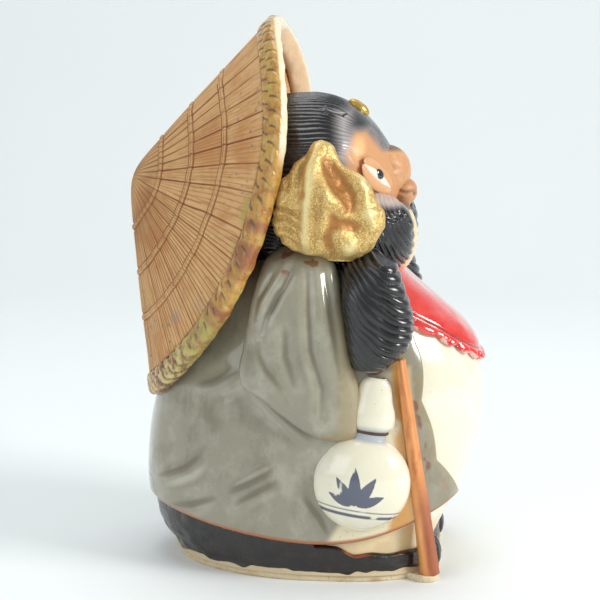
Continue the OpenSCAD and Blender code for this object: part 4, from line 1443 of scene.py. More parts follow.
@dataclass
class Head:
    """Combed black skull with its orange face, jowls, ears, eyes, muzzle and forehead bead."""

    centre: Point = (0.0, -3.0, 172.0)
    half: float = 41.5
    front: float = 38.5
    back: float = 57.5
    up: float = 43.5
    strands: int = 118
    jowl_strands: int = 246
    jowl_lump: Lump = Lump((-21.6, -26.5, 152.0), 20.5, 24.5, 26, 20.5, 17.5, 2.5)
    snout_lump: Lump = Lump((0, -34.5, 180.0), 13.5, 13.6, 14, 12, 13, 2.2)
    nose_lump: Lump = Lump((0, -44.5, 171.0), 7, 6.6, 7, 6, 7.5)
    lip_lump: Lump = Lump((0, -41.5, 163), 9, 6.5, 8, 5, 5)
    chin_lump: Lump = Lump((0, -39, 150), 9, 12.6, 13, 17, 18)
    bead_rise: float = 57.0
    bead_size: Point = (5.5, 3.3, 2.86)
    ear_at: Point = (56.0, 56.0, 70.0)
    ear_size: Point = (8.0, 6.1, 4.0)
    ear_cup: Point = (4.8, 3.2, 2.4)
    eye_at: Point = (36.0, 9.5, 56.0)
    eye_long: float = 22.5
    eye_wide: float = 4.9
    pupil: float = 2.3
    lids: tuple[tuple[int, float], ...] = ((1, 3.0), (-1, 2.4))
    mask: Line = (
        (-20, 190), (-24, 199), (-29, 199), (-36, 190), (-42, 188), (-50, 184), (-54, 172), (-46, 163),
        (-36, 168), (-26, 171),
        (-21, 181))

    def on_skull(self, angle: float, rise: float) -> tuple[Array, Array]:
        """Place and normal of the skull at an angle from the front and a rise, in degrees.

        Args:
            angle: way round.
            rise: angle above the level.

        Returns:
            The place and the normal.
        """
        a, e = math.radians(angle), math.radians(rise)
        reach = self.front if abs(angle) < 90 else self.back
        d = np.array([-self.half * math.sin(a) * math.cos(e), -reach * math.cos(a) * math.cos(e),
                      self.up * math.sin(e)])
        return np.array(self.centre) + d, d / np.array([self.half, reach, self.up]) ** 2

    def skull(self) -> Cast:
        """Skull: an egg whose poles are the nose and the nape, so that columns are strands combed back.

        Returns:
            The clay.
        """
        swing = np.linspace(0, np.pi, count(132) + 2)[1:-1, None]
        angle = columns_of(700)
        reach = np.where(swing < np.pi / 2, self.front, self.back)
        base = xyz(-self.half * np.sin(angle) * np.sin(swing), -reach * np.cos(swing),
                   self.up * np.cos(angle) * np.sin(swing)) + np.array(self.centre)
        y, z = base[..., 1], base[..., 2]
        mask = inside_area(y + 1.2 * rumple(base, 6, 79), z, self.mask, 5.0)
        wander = 2.6 * strand_noise(base, (7, 16, 7), 71)
        strands = comb(self.strands * angle + 3.0 * wander)
        fur = fade(y, -24, -12) * fade(rumple(base, 9, 72), -0.9, 0.1)
        socket = mound((y + 31, 7), (z - 179.5, 8)) * (np.abs(base[..., 0]) > 8)
        cheek = 3.6 * mound((base[..., 0], 15), (z - 178, 11)) * fade(-y, 22, 34)
        brow = Fold(((-22, 193), (-26, 188), (-31, 184), (-37, 180)), 1.6, 0.6, 0.8)
        under = Fold(((-25, 175), (-32, 172), (-42, 167)), 1.4, 0.5, 0.8)
        # A painted highlight on the brow, and a lighter strip under the eye, laid in the warm mark.
        brow_highlight_and_strip = mound((y + 26, 3.5), (z - 192, 7)) + 0.6 * inside_area(
            y, z, ((-26, 176), (-34, 173), (-44, 167), (-44, 163), (-32, 169)), 2.0)
        height = (-0.75 * strands * fur - 1.6 * socket + cheek + brow.height(y, z) + under.height(y, z)
                  + 0.3 * rumple(base, 9, 73))
        flow = xyz(60 * np.cos(angle), 60 * np.sin(angle), y / 5)
        # haze: a painted sheen in a band on the forehead beside the face, laid in the pale mark.
        haze = inside_area(y, z, ((-15, 208), (-22, 208), (-23, 192), (-18, 176), (-14, 176), (-17, 192)),
                           6.5)
        marks = {"groove": strands * fur,
                 # crest: grey glaze thinning on the comb crests, partly a painted sheen.
                 "crest": fade(1 - strands, 0.6, 0.95) * fur * fade(rumple(base, 10, 74), -0.3, 0.5),
                 "pale": 0.9 * haze * (1 - 0.4 * strands),
                 "mask": mask, "warm": unit(brow_highlight_and_strip) * mask, "rust_and_painted_shadow": 0.5 * unit(under.shade(y, z)) * mask,
                 "flow": flow}
        return tube(raised(base, height), marks)

    def jowl(self) -> Cast:
        """Right jowl: an egg combed from the mouth down and forwards, with the whiskers' furrow.

        Returns:
            The clay.
        """
        base = self.jowl_lump.grid(130, 460)
        y, z = base[..., 1], base[..., 2]
        angle = turns(base.shape[1])[None, :]
        fan = np.arctan2(y + 5, 227 - z)
        wander = 1.6 * strand_noise(base, (7, 7, 12), 75)
        strands = comb(self.jowl_strands * fan + 1.6 * wander)
        fur = fade(rumple(base, 8, 76), -0.9, 0.1) * fade(178 - z, 4, 12)
        whisker = Fold(((-35, 166.5), (-38, 163), (-42, 161.5), (-46.5, 164)), 1.1, 1.3, 0.8)
        fold = unit(whisker.shade(y, z) * 1.4)
        fur = fur * (1 - 0.9 * fold)
        height = -1.1 * strands * fur + whisker.height(y, z) + 0.4 * rumple(base, 8, 77)
        crown = fade(z, 163.5, 169) * fade(-y, 18, 26) * (1 - fade(-y, 46, 50))
        flow = xyz(fan * 60, base[..., 0] / 3, z / 5)
        marks = {"groove": unit(strands * fur + fold), "mask": 0.55 * crown, "pale": 0.62 * crown,
                 # crest: grey glaze thinning on the comb crests, partly a painted sheen.
                 "crest": fade(1 - strands, 0.6, 0.95) * fur * fade(rumple(base, 8, 78), -0.3, 0.5),
                 "flow": flow}
        return tube(raised(base, height), marks)

    def ear(self) -> Cast:
        """Right ear: half an egg with a cup pressed into it, rimmed by a raised lip with a painted highlight
        along it.

        Returns:
            The clay.
        """
        *way, roll = self.ear_at
        place, normal = self.on_skull(*way)
        (long, wide, high), (cup_long, cup_wide, cup_deep) = self.ear_size, self.ear_cup
        share = np.linspace(0.01, 1, count(60))[:, None]
        angle = columns_of(140)
        x, y = long * share * np.cos(angle), wide * share * np.sin(angle)
        dome = high * np.sqrt(unit(1 - share**2))
        room = 1 - (x / cup_long) ** 2 - ((y - 1) / cup_wide) ** 2
        cup = high - cup_deep * np.sqrt(np.clip(room, 0, None))
        z = np.where(room > 0, np.minimum(dome, cup), dome)
        groove = comb(26 * angle) * fade(share, 0.55, 0.9)
        # rim: a raised lip, also painted with a highlight through the pale mark.
        rim = bell(room, 0.22) * fade(-y, -1.0, 1.5)
        top = xyz(x, y, 0.5 * z - 2.0 + 0.9 * rim - 0.3 * groove)
        low = xyz(x[::-1], y[::-1], -2.6 - 0.8 * (1 - share[::-1]))
        marks = {"groove": unit(groove + fade(room, 0.2, 0.8)), "pale": rim * 0.9}
        grid = facing(place, normal, roll, np.concatenate([top, low]))
        return tube(grid, {k: np.concatenate([v + 0 * angle, (v + 0 * angle)[::-1] * 0])
                           for k, v in marks.items()})

    def lens(self, length: float, width: float, rise: float, sink: float) -> Array:
        """Almond lens: the overlap of two discs, domed above and below, as rings from its top to its back.

        Args:
            length: the almond's length.
            width: its width.
            rise: the dome's height.
            sink: the back's depth.

        Returns:
            The rings.
        """
        ball = (length**2 + width**2) / (4 * width)
        offset = ball - width / 2
        angle = columns_of(120)
        edge = -offset * np.abs(np.sin(angle)) + np.sqrt(ball**2 - (offset * np.cos(angle)) ** 2)
        up = np.linspace(0.02, 1, count(36))[:, None]
        dome = np.sqrt(unit(1 - up**2))
        share = np.concatenate([up, up[::-1]])
        z = np.concatenate([rise * dome, -sink * dome[::-1]])
        return xyz(share * edge * np.cos(angle), share * edge * np.sin(angle), z)

    def eye(self) -> tuple[Cast, Cast, Cast, Cast]:
        """Right eye: its white, its pupil, the dark upper lid and the lower lid.

        Returns:
            The four lots of clay.
        """
        *way, roll = self.eye_at
        place, normal = self.on_skull(*way)
        length, width = self.eye_long, self.eye_wide
        ball = self.lens(length, width, 2.2, 2.2)
        rim = unit(np.hypot(ball[..., 0] / length, ball[..., 1] / width) * 2)
        corner = fade(np.abs(ball[..., 0]), 7.5, 11)
        white = tube(facing(place, normal, roll, ball),
                     {"rust_and_painted_shadow": 0.8 * corner, "groove": 0.5 * fade(rim, 0.86, 1.0)})
        up = np.linspace(0.02, 1, count(30))[:, None]
        angle = columns_of(60)
        r, above = self.pupil, 0.9
        front = xyz(1.2 * r * up * np.cos(angle), above + r * up * np.sin(angle),
                    1.7 + 0.9 * np.sqrt(1 - up**2))
        rear = xyz(1.2 * r * up[::-1] * np.cos(angle), above + r * up[::-1] * np.sin(angle), 0.5)
        pupil = tube(facing(place, normal, roll, np.concatenate([front, rear])))
        lids = []
        for side, thick in self.lids:
            along = np.linspace(-1, 1, count(90))[:, None]
            turn = columns_of(24)
            bend = (length**2 + width**2) / (4 * width)
            x = 0.5 * length * along
            y = side * (np.sqrt(bend**2 - x**2) - (bend - width / 2 - 0.5 * thick))
            size = thick * np.sqrt(np.clip(1 - along**4, 0.004, 1))
            off = y + size * np.cos(turn)
            ring = xyz(x, off, 0.6 - 0.032 * off**2 + 0.32 * size * np.sin(turn))
            lids.append(tube(facing(place, normal, roll, ring),
                             {"pale": np.full(ring.shape[:2], 0.6 if side > 0 else 0.9)}))
        return white, pupil, lids[0], lids[1]

    def muzzle(self) -> dict[str, Cast]:
        """Snout, nose, lip, chin and forehead bead, each an egg with its own furrows and stains.

        Returns:
            Each piece's clay.
        """
        snout = self.snout_lump.grid(70, 140)
        top = fade(snout[..., 2], 187, 191) * fade(-snout[..., 1], 30, 38)
        wrinkle = Fold(((-30, 186), (-36, 183), (-43, 181)), 1.4, 0.8, 0.5)
        clay = {"snout": tube(raised(snout,
                                     wrinkle.height(snout[..., 1], snout[..., 2])
                                     + 0.2 * rumple(snout, 6, 81)),
                              {"groove": top, "rust_and_painted_shadow": 0.6 * wrinkle.shade(snout[..., 1], snout[..., 2])})}
        nose = self.nose_lump.grid(60, 120)
        hole = (mound((np.abs(nose[..., 0]) - 3.0, 1.3), (nose[..., 2] - 169.5, 1.3))
                * (nose[..., 1] < -44))
        fold = Fold(((-40, 172), (-46, 170.5), (-51, 171)), 0.9, 0.8, 0.3)
        clay["nose"] = tube(raised(nose, fold.height(nose[..., 1], nose[..., 2]) - 1.0 * hole),
                            {"rust_and_painted_shadow": unit(0.45 + 0.5 * fold.shade(nose[..., 1], nose[..., 2])),
                             "groove": hole,
                             "pale": 0.3 * fade(nose[..., 2], 172, 176)})
        lip = self.lip_lump.grid(60, 120)
        split = bell(lip[..., 0], 0.9) * (lip[..., 1] < -44)
        clay["upper_lip"] = tube(raised(lip, -0.9 * split), {"groove": unit(0.8 + split)})
        chin = self.chin_lump.grid(70, 120)
        clay["chin"] = tube(raised(chin, 0.3 * rumple(chin, 7, 82)),
                            {"amber": np.full(chin.shape[:2], 0.9),
                             "rust_and_painted_shadow": 0.5 * fade(chin[..., 2], 158, 165)})
        place, normal = self.on_skull(0, self.bead_rise)
        long, wide, high = self.bead_size
        up = np.linspace(-np.pi / 2, np.pi / 2, count(50) + 2)[1:-1, None]
        angle = columns_of(120)
        local = xyz(long * np.cos(up) * np.cos(angle), wide * np.cos(up) * np.sin(angle),
                    high * np.sin(up))
        pleat = 0.4 * comb(5 * angle) * np.cos(up) ** 2
        bead = facing(place, normal, 0, local)
        clay["forehead_bead"] = tube(raised(bead, -0.4 * pleat), {"groove": 0.8 * pleat})
        return clay

    def build(self, kiln: Kiln) -> None:
        """Make and finish every piece of the head.

        Args:
            kiln: where the pieces are fired.
        """
        kiln.fire("combed_head", [self.skull()], COMBED, ("head",))
        white, pupil, brow, lid = self.eye()
        for side, right in (("right", True), ("left", False)):
            turned = (lambda c: c) if right else Cast.mirrored
            kiln.fire(f"combed_jowl_{side}", [turned(self.jowl())], COMBED, (f"{side}_jowl",))
            kiln.fire(f"cupped_ear_{side}", [turned(self.ear())], COMBED, (f"{side}_ear",))
            kiln.fire(f"eye_ball_{side}", [turned(white)], EYE_WHITE, (f"{side}_eye",))
            kiln.fire(f"eye_dark_{side}", [turned(pupil)], PUPIL_BLACK, (f"{side}_pupil",))
            kiln.fire(f"brow_lid_{side}", [turned(brow)], FACE)
            kiln.fire(f"lower_lid_{side}", [turned(lid)], FACE)
        for node, clay in self.muzzle().items():
            finish = {"chin": GLOSSY_CREAM, "forehead_bead": BEAD}.get(node, FACE)
            kiln.fire(f"formed_{node}", [clay], finish, (node,),
                      "gold_glaze" if node == "forehead_bead" else "")


@dataclass
class Hat:
    """Straw-pattern hat carried on the back: crown, inner face and bound rim.

    In its own frame the point of the crown is the origin, the rim lies below it and -Y runs up the back.
    """

    width: float = 130.0
    up: float = 91.0
    down: float = 94.0
    depth: float = 44.0
    wrap: float = 28.5
    square: float = 2.6
    lean: float = 18.5
    apex: Point = (0.0, 84.9, 177.6)
    thick: float = 5.0
    crown_end: float = 0.89
    rings: tuple[float, ...] = (0.24, 0.45, 0.66)
    panels: int = 42
    slope: float = 112.0
    ring_half: float = 1.2
    ring_split: float = 0.32
    ring_sides: Pair = (1.8, 0.5)
    lining_lines: int = 120
    wraps: int = 72
    lobes: int = 38

    def world(self, local: Array) -> Array:
        """Local points turned by the lean and moved to the hat's place."""
        return local @ spin(0, math.radians(self.lean - 90)).T + np.array(self.apex)

    def rim_at(self, angle: Array) -> Array:
        """The rim's line: a squared oval that bends down towards its sides by a squared sine."""
        x, y = oval(angle, self.width / 2, self.up, self.down, self.square)
        return xyz(x, y, -self.depth - self.wrap * np.sin(angle) ** 2)

    def cone(self, angle: Array, share: Array, lift: Array | float) -> Array:
        """The crown: lines from the blunt point to the rim, pushed out across them by the lift.

        Args:
            angle: ways round.
            share: shares from the point to the rim.
            lift: push outwards in mm.

        Returns:
            The points.
        """
        r = self.rim_at(angle)
        q = np.hypot(r[..., 0], r[..., 1])
        across = xyz(-r[..., 2] * r[..., 0] / q, -r[..., 2] * r[..., 1] / q, q)
        across = across / np.linalg.norm(r, axis=-1, keepdims=True)
        z = -np.sqrt((share * r[..., 2]) ** 2 + 16)
        base = xyz(share * r[..., 0], share * r[..., 1], z)
        return base + across * np.asarray(lift + 0 * z)[..., None]

    def dish(self, angle: Array, share: Array, lift: float) -> Array:
        """The inner face: a shallow cone from the rim to a flat middle behind the head."""
        r = self.rim_at(angle)
        return xyz(share * r[..., 0], share * r[..., 1], -34 - (-r[..., 2] - 34) * share + lift)

    def straw(self, angle: Array, share: Array) -> dict[str, Array]:
        """Radial panels and raised rings.

        Broad panels part at sharp lines, and every other one stands higher. A ring is two crests with a fine
        line between them and one on each side. The lines' colour follows the panel phase in the shader.

        Args:
            angle: ways round.
            share: shares from the point to the rim.

        Returns:
            Height in mm and the marks of the crown.
        """
        r = self.rim_at(angle)
        step = np.linalg.norm(np.roll(r, -1, 1) - np.roll(r, 1, 1), axis=-1) / 2
        pitch = share * step * r.shape[1] / self.panels
        flat = xyz(60 * np.cos(angle) * share, 60 * np.sin(angle) * share, 0 * share * angle)
        phase = (angle * self.panels / (2 * np.pi) + 0.5
                 + 0.06 * lattice_noise(flat, 13, 91) * fade(angle, 0, 0.2))
        to_line = (0.5 - np.abs(phase % 1 - 0.5)) * pitch
        line = bell(to_line, 0.6)
        rise = 0.4 * unit(1.5 - 2 * np.abs((phase - 0.5) % 2 - 1)) * fade(pitch, 2, 6)
        low = fade(angle, 1.2, 1.9) * (1 - fade(angle, 4.4, 5.1))
        height = rise - 0.5 * line * fade(pitch, 1.5, 4) + 0.25 * rumple(flat, 12, 93)
        crest, dark = np.zeros_like(height), np.zeros_like(height)
        aside, thin = self.ring_sides
        for k, middle in enumerate(self.rings):
            d = (share - middle - 0.004 * np.sin(5 * angle + k)) * self.slope
            ridge = bell(d, self.ring_half)
            split = bell(d, self.ring_split)
            sides = bell(np.abs(d) - aside, thin)
            height = height * (1 - 0.6 * ridge) + 0.7 * ridge - 0.45 * split - 0.45 * sides
            dark = np.maximum(dark, unit(0.6 * split + 0.9 * sides))
            # The crest mark paints a highlight along each ring's two crests.
            crest = np.maximum(crest, ridge * (1 - split))
        patch = rumple(flat, 10, 94)
        return {"height": height, "groove": dark * (0.9 + 0.4 * patch), "crest": crest * (1 - 0.7 * line),
                "panel": phase, "panel_pitch": pitch,
                "bold": unit(0.75 + 0.6 * patch) * (1 - 0.5 * crest) * (1 - 0.35 * low),
                "fine": unit(0.25 + 0.75 * low + 0.5 * fade(0.3 - share, 0, 0.15)
                             + 0.4 * rumple(flat, 14, 92))
                * (1 - 0.6 * crest) * fade(pitch / 4, 0.3, 0.8)}

    def crown(self) -> Cast:
        """Outer face from rim to point, over a plain inner wall; rows crowd at the rings.

        Returns:
            The clay.
        """
        angle = columns_of(760)
        inside = np.linspace(0.05, self.crown_end, count(8))[:, None]
        near = [middle + np.linspace(-0.034, 0.034, count(17)) for middle in self.rings]
        share = np.unique(np.concatenate([np.linspace(0.012, self.crown_end + 0.015, count(62)),
                                          *near]))[::-1, None]
        marks = self.straw(angle, share)
        hold = fade(share, 0.01, 0.12)
        rows = np.concatenate([self.cone(angle, inside, -self.thick),
                               self.cone(angle, share, marks.pop("height") * hold)])
        place = self.cone(angle, share, 0.0)
        side = fade(np.abs(place[..., 0]), 8, 30)
        low = fade(place[..., 1], 5, 55) * fade(share, 0.3, 0.8)
        marks["blue"] = low * fade(rumple(place, 12, 95), -0.1, 0.7) * 0.9
        beside = bell(place[..., 1], 26)
        marks["pool"] = (fade(share, 0.8, 0.89) * fade(rumple(place, 12, 96), -0.5, 0.3)
                         * (0.3 + 0.7 * side) * (0.35 + 0.65 * beside))
        upper = bell(np.degrees(np.minimum(angle, 2 * np.pi - angle)) - 62, 22) * fade(share, 0.64, 0.72)
        marks["ash"] = unit(0.12 + 0.85 * low + 0.75 * upper)
        zero = np.zeros((len(inside), angle.shape[1]))
        flow = xyz(70 * np.cos(angle), 70 * np.sin(angle), share * 9)
        marks = {k: np.concatenate([zero, v + zero[:1]]) for k, v in marks.items()}
        marks["flow"] = np.concatenate([np.broadcast_to(flow[:1], (len(inside),) + flow.shape[1:]), flow])
        return tube(self.world(rows), marks)

    def lining(self) -> Cast:
        """Inner face from the middle to the rim, combed by fine slanting lines, and its hidden back.

        Returns:
            The clay.
        """
        angle = columns_of(620)
        share = np.linspace(0.03, self.crown_end - 0.01, count(100))[:, None]
        face = self.dish(angle, share, 0.0)
        swirl = angle + 0.5 * share
        phase = swirl * self.lining_lines / (2 * np.pi)
        pitch = share * 80 * 2 * np.pi / self.lining_lines
        line = (bell((phase % 1 - 0.5) * pitch, 0.5) * fade(pitch, 0.8, 1.6)
                * (0.6 + 0.4 * rumple(face, 14, 97)))
        face = face - np.array([0, 0, 1.0]) * (-0.35 * line + 0.25 * rumple(face, 12, 98))[..., None]
        back = self.dish(angle, share[::-1] * 0.94, 3.4)
        low = fade(face[..., 1], 0, 55)
        flow = xyz(70 * np.cos(swirl), 70 * np.sin(swirl), share * 9)
        marks = {"panel": phase + 0.5, "panel_pitch": pitch + 0 * angle, "blue": low * 0.9, "flow": flow}
        return tube(self.world(np.concatenate([face, back])), there_and_back(marks))

    def rim(self) -> Cast:
        """Bound rim: a rounded section carried round the edge, cut by slanting wraps of straw.

        Returns:
            The clay.
        """
        angle = columns_of(900)
        turn = turns(count(84))[:, None]
        across, along = np.cos(turn), np.sin(turn)
        square = 3.0
        lift = -2.5 + 4.0 * np.sign(across) * np.abs(across) ** (2 / square)
        share = self.crown_end + 0.012 + 0.052 + 0.054 * np.sign(along) * np.abs(along) ** (2 / square)
        grid = self.cone(angle, share, lift)
        flat = xyz(50 * np.cos(angle), 50 * np.sin(angle), 0)
        wander = 0.5 * lattice_noise(flat, 4, 99)
        wraps = (self.wraps * angle - 2.6 * turn + 2.4 * wander) / (2 * np.pi)
        valley = np.exp(-(wraps % 1 - 0.5) ** 2 / 0.008)
        low = fade(np.cos(angle + np.pi), 0.35, 0.85)
        rope = np.abs(np.sin(self.lobes * angle + 1.2 * turn)) ** 0.6
        edge = fade(along, 0.2, 0.8)
        outside = fade(across, -0.7, 0.0)
        height = ((-0.5 * valley * outside + 0.6 * rumple(grid, 6, 101)) * (1 - 0.5 * low)
                  - 0.9 * low * (1 - rope))
        down = np.degrees(np.minimum(angle, 2 * np.pi - angle)) + 6 * lattice_noise(flat, 6, 104)
        ends = fade(down, 70, 88) * (1 - fade(down, 116, 134))
        olive = fade(down, 108, 122) * (1 - fade(down, 150, 162))
        straws = 0.55 + 0.45 * lattice_noise(flat, 1.6, 105)
        marks = {"groove": unit(valley * outside * (1 - 0.7 * edge) * (1 - low) + 0.8 * low * (1 - rope)),
                 "peach": fade(-across, 0.1, 0.6) * (1 - edge) * (1 - low), "rust_and_painted_shadow": ends * straws,
                 "pool": olive * fade(rumple(grid, 7, 106), -0.8, 0.2),
                 "lip": edge * fade(-across, -0.75, 0.1) * fade(rumple(grid, 9, 103), -1.2, -0.4)
                 * (1 - fade(down, 66, 84)),
                 "crest": 0.7 * low * rope, "scorch": low + 0 * turn}
        return tube(self.world(raised(grid, -height, looped=True)),
                    {k: v + 0 * turn + 0 * angle for k, v in marks.items()},
                    looped=True)

    def build(self, kiln: Kiln) -> None:
        """Make and finish the three pieces of the hat.

        Args:
            kiln: where the pieces are fired.
        """
        kiln.fire("straw_crown", [self.crown()], STRAW, ("hat_crown",))
        kiln.fire("hat_inner_face", [self.lining()], LINING, ("hat_lining",), "straw_clay")
        kiln.fire("bound_rim", [self.rim()], RIM, ("hat_rim",))


@dataclass
class Arms:
    """Celadon sleeves that hang from the wrists, and combed arms with paws."""

    front: float = -51.3
    ring_pitch: float = 4.2
    ring_rise: Pair = (0.1, 0.022)
    ring_deep: float = 1.15
    paw_lift: float = 7.5
    sleeve_rows: Rows = (
        (64, -52, -19, 5, 8), (70.96, -53, -15, 8, 14), (81.4, -53, -8.5, 8.5, 20.8),
        (90.1, -53, -2.5, 9, 26),
        (107.5, -53, -1, 9.5, 23.4), (128.38, -50, -1.5, 10.5, 19.5), (144.04, -45, -2, 10, 15.6),
        (151, -41, -2, 5, 9.4))
    arm_rows: Rows = (
        (94, -51.5, -36, 5, 8.5), (97.92, -53.5, -37, 8.5, 12.4), (108, -54.5, -37.5, 11, 14.6),
        (119.76, -54.5, -37, 11.5, 15.5),
        (133.2, -52.5, -34.5, 12, 14), (143.28, -48.5, -33, 10.5, 11.8), (150, -44.5, -32, 5, 6.2))
    creases: tuple[Fold, ...] = (
        Fold(((-2.4, 147), (4.5, 133.7), (11.5, 122.2), (14, 112)), 1.8, 1.5, 0.8),
        Fold(((-6.1, 146), (-7, 124.6), (-7.9, 107.1), (-13.1, 89.5), (-12.3, 73)), 2.0, 1.6, 0.9),
        Fold(((8, 141), (15, 128), (17, 116)), 1.6, 0.9, 0.5),
        Fold(((6.2, 133), (10.6, 121)), 1.5, 0.7, 0.4),
        Fold(((-13, 146), (-16, 128), (-18.5, 111), (-21, 92)), 2.0, 1.2, 0.7),
        Fold(((3, 120), (3, 104), (-2, 88)), 2.6, 0.8, 0.5),
        Fold(((16, 108), (12, 98), (4, 88)), 2.4, 0.6, 0.4))

    def sleeve(self) -> Cast:
        """Right sleeve: a flattened limb with creases that run down from the gathered shoulder.

        Returns:
            The clay.
        """
        base = limb(np.array(self.sleeve_rows, float), count(190), count(300), 2.8, 4.0)
        y, z = base[..., 1], base[..., 2]
        relief = sum(fold.height(y, z) for fold in self.creases)
        shade = sum(fold.shade(y, z) for fold in self.creases)
        ends = fade(z, 64, 72) * fade(151 - z, 0, 5)
        drape = 0.45 * strand_noise(base, (10, 8, 34), 111) + 0.2 * rumple(base, 9, 112)
        spots = fade(rumple(base, 3.2, 113), 0.0, 0.35)
        top = inside_area(y, z, ((8, 150), (-12, 150), (-14, 141), (6, 138)), 3)
        front = fade(-y, 14, 24)
        low = 1 - fade(z, 66, 74)
        marks = {"groove": unit(0.8 * shade), "crest": unit(0.45 * relief + 0.3 * drape),
                 "warm": unit(0.8 * front + 0.5 * low), "rust_and_painted_shadow": 0.5 * low * spots,
                 "scorch": 0.8 * top * spots,
                 # pale: a painted highlight at the top of the sleeve.
                 "pale": 0.5 * inside_area(y, z, ((-8, 149), (-15, 149), (-16, 144), (-8, 144)), 2)}
        return tube(raised(base, (0.75 * relief + drape - 0.2) * ends), marks)

    def arm(self) -> Cast:
        """Right arm and paw: a limb combed by furrows that rise to the back as a parabola in the side view.

        Returns:
            The clay.
        """
        base = limb(np.array(self.arm_rows, float), count(230), count(380), 2.4, 4.0)
        base[..., 2] += self.paw_lift * fade(-base[..., 1], 35, 51) * (1 - fade(base[..., 2], 97, 121))
        y, z = base[..., 1], base[..., 2]
        u = y - self.front
        lean, bend = self.ring_rise
        wander = strand_noise(base, (8, 8, 8), 114)
        phase = (z - lean * u - bend * np.clip(u, 0, None) ** 2) / self.ring_pitch * 2 * np.pi
        strands = comb(phase + 2.4 * wander)
        rings = np.maximum(fade(-y, 32, 42), fade(z, 131, 141))
        fur = ((0.2 + 0.8 * rings) * fade(rumple(base, 9, 115), -1.2, -0.2) * fade(z, 95, 99)
               * fade(150 - z, 0, 3))
        swell = 0.7 * rumple(base, 13, 116) - 0.3
        edge = bell(z - 96.2, 1.3)
        flow = xyz(phase / 2.2, u / 6, base[..., 0] / 6)
        marks = {"groove": strands * fur,
                 # crest: grey glaze thinning on the comb crests, partly a painted sheen.
                 "crest": fade(1 - strands, 0.6, 0.95) * fur * fade(rumple(base, 9, 117), -0.3, 0.5),
                 "rust_and_painted_shadow": edge, "flow": flow}
        return tube(raised(base, swell - self.ring_deep * strands * fur), marks)

    def build(self, kiln: Kiln) -> None:
        """Make and finish both sleeves and both arms.

        Args:
            kiln: where the pieces are fired.
        """
        sleeve, arm = self.sleeve(), self.arm()
        kiln.fire("hanging_sleeve_right", [sleeve], CELADON, ("right_sleeve",))
        kiln.fire("hanging_sleeve_left", [sleeve.mirrored()], CELADON, ("left_sleeve",))
        kiln.fire("combed_arm_right", [arm], COMBED, ("right_arm",))
        kiln.fire("combed_arm_left", [arm.mirrored()], COMBED, ("left_arm",))


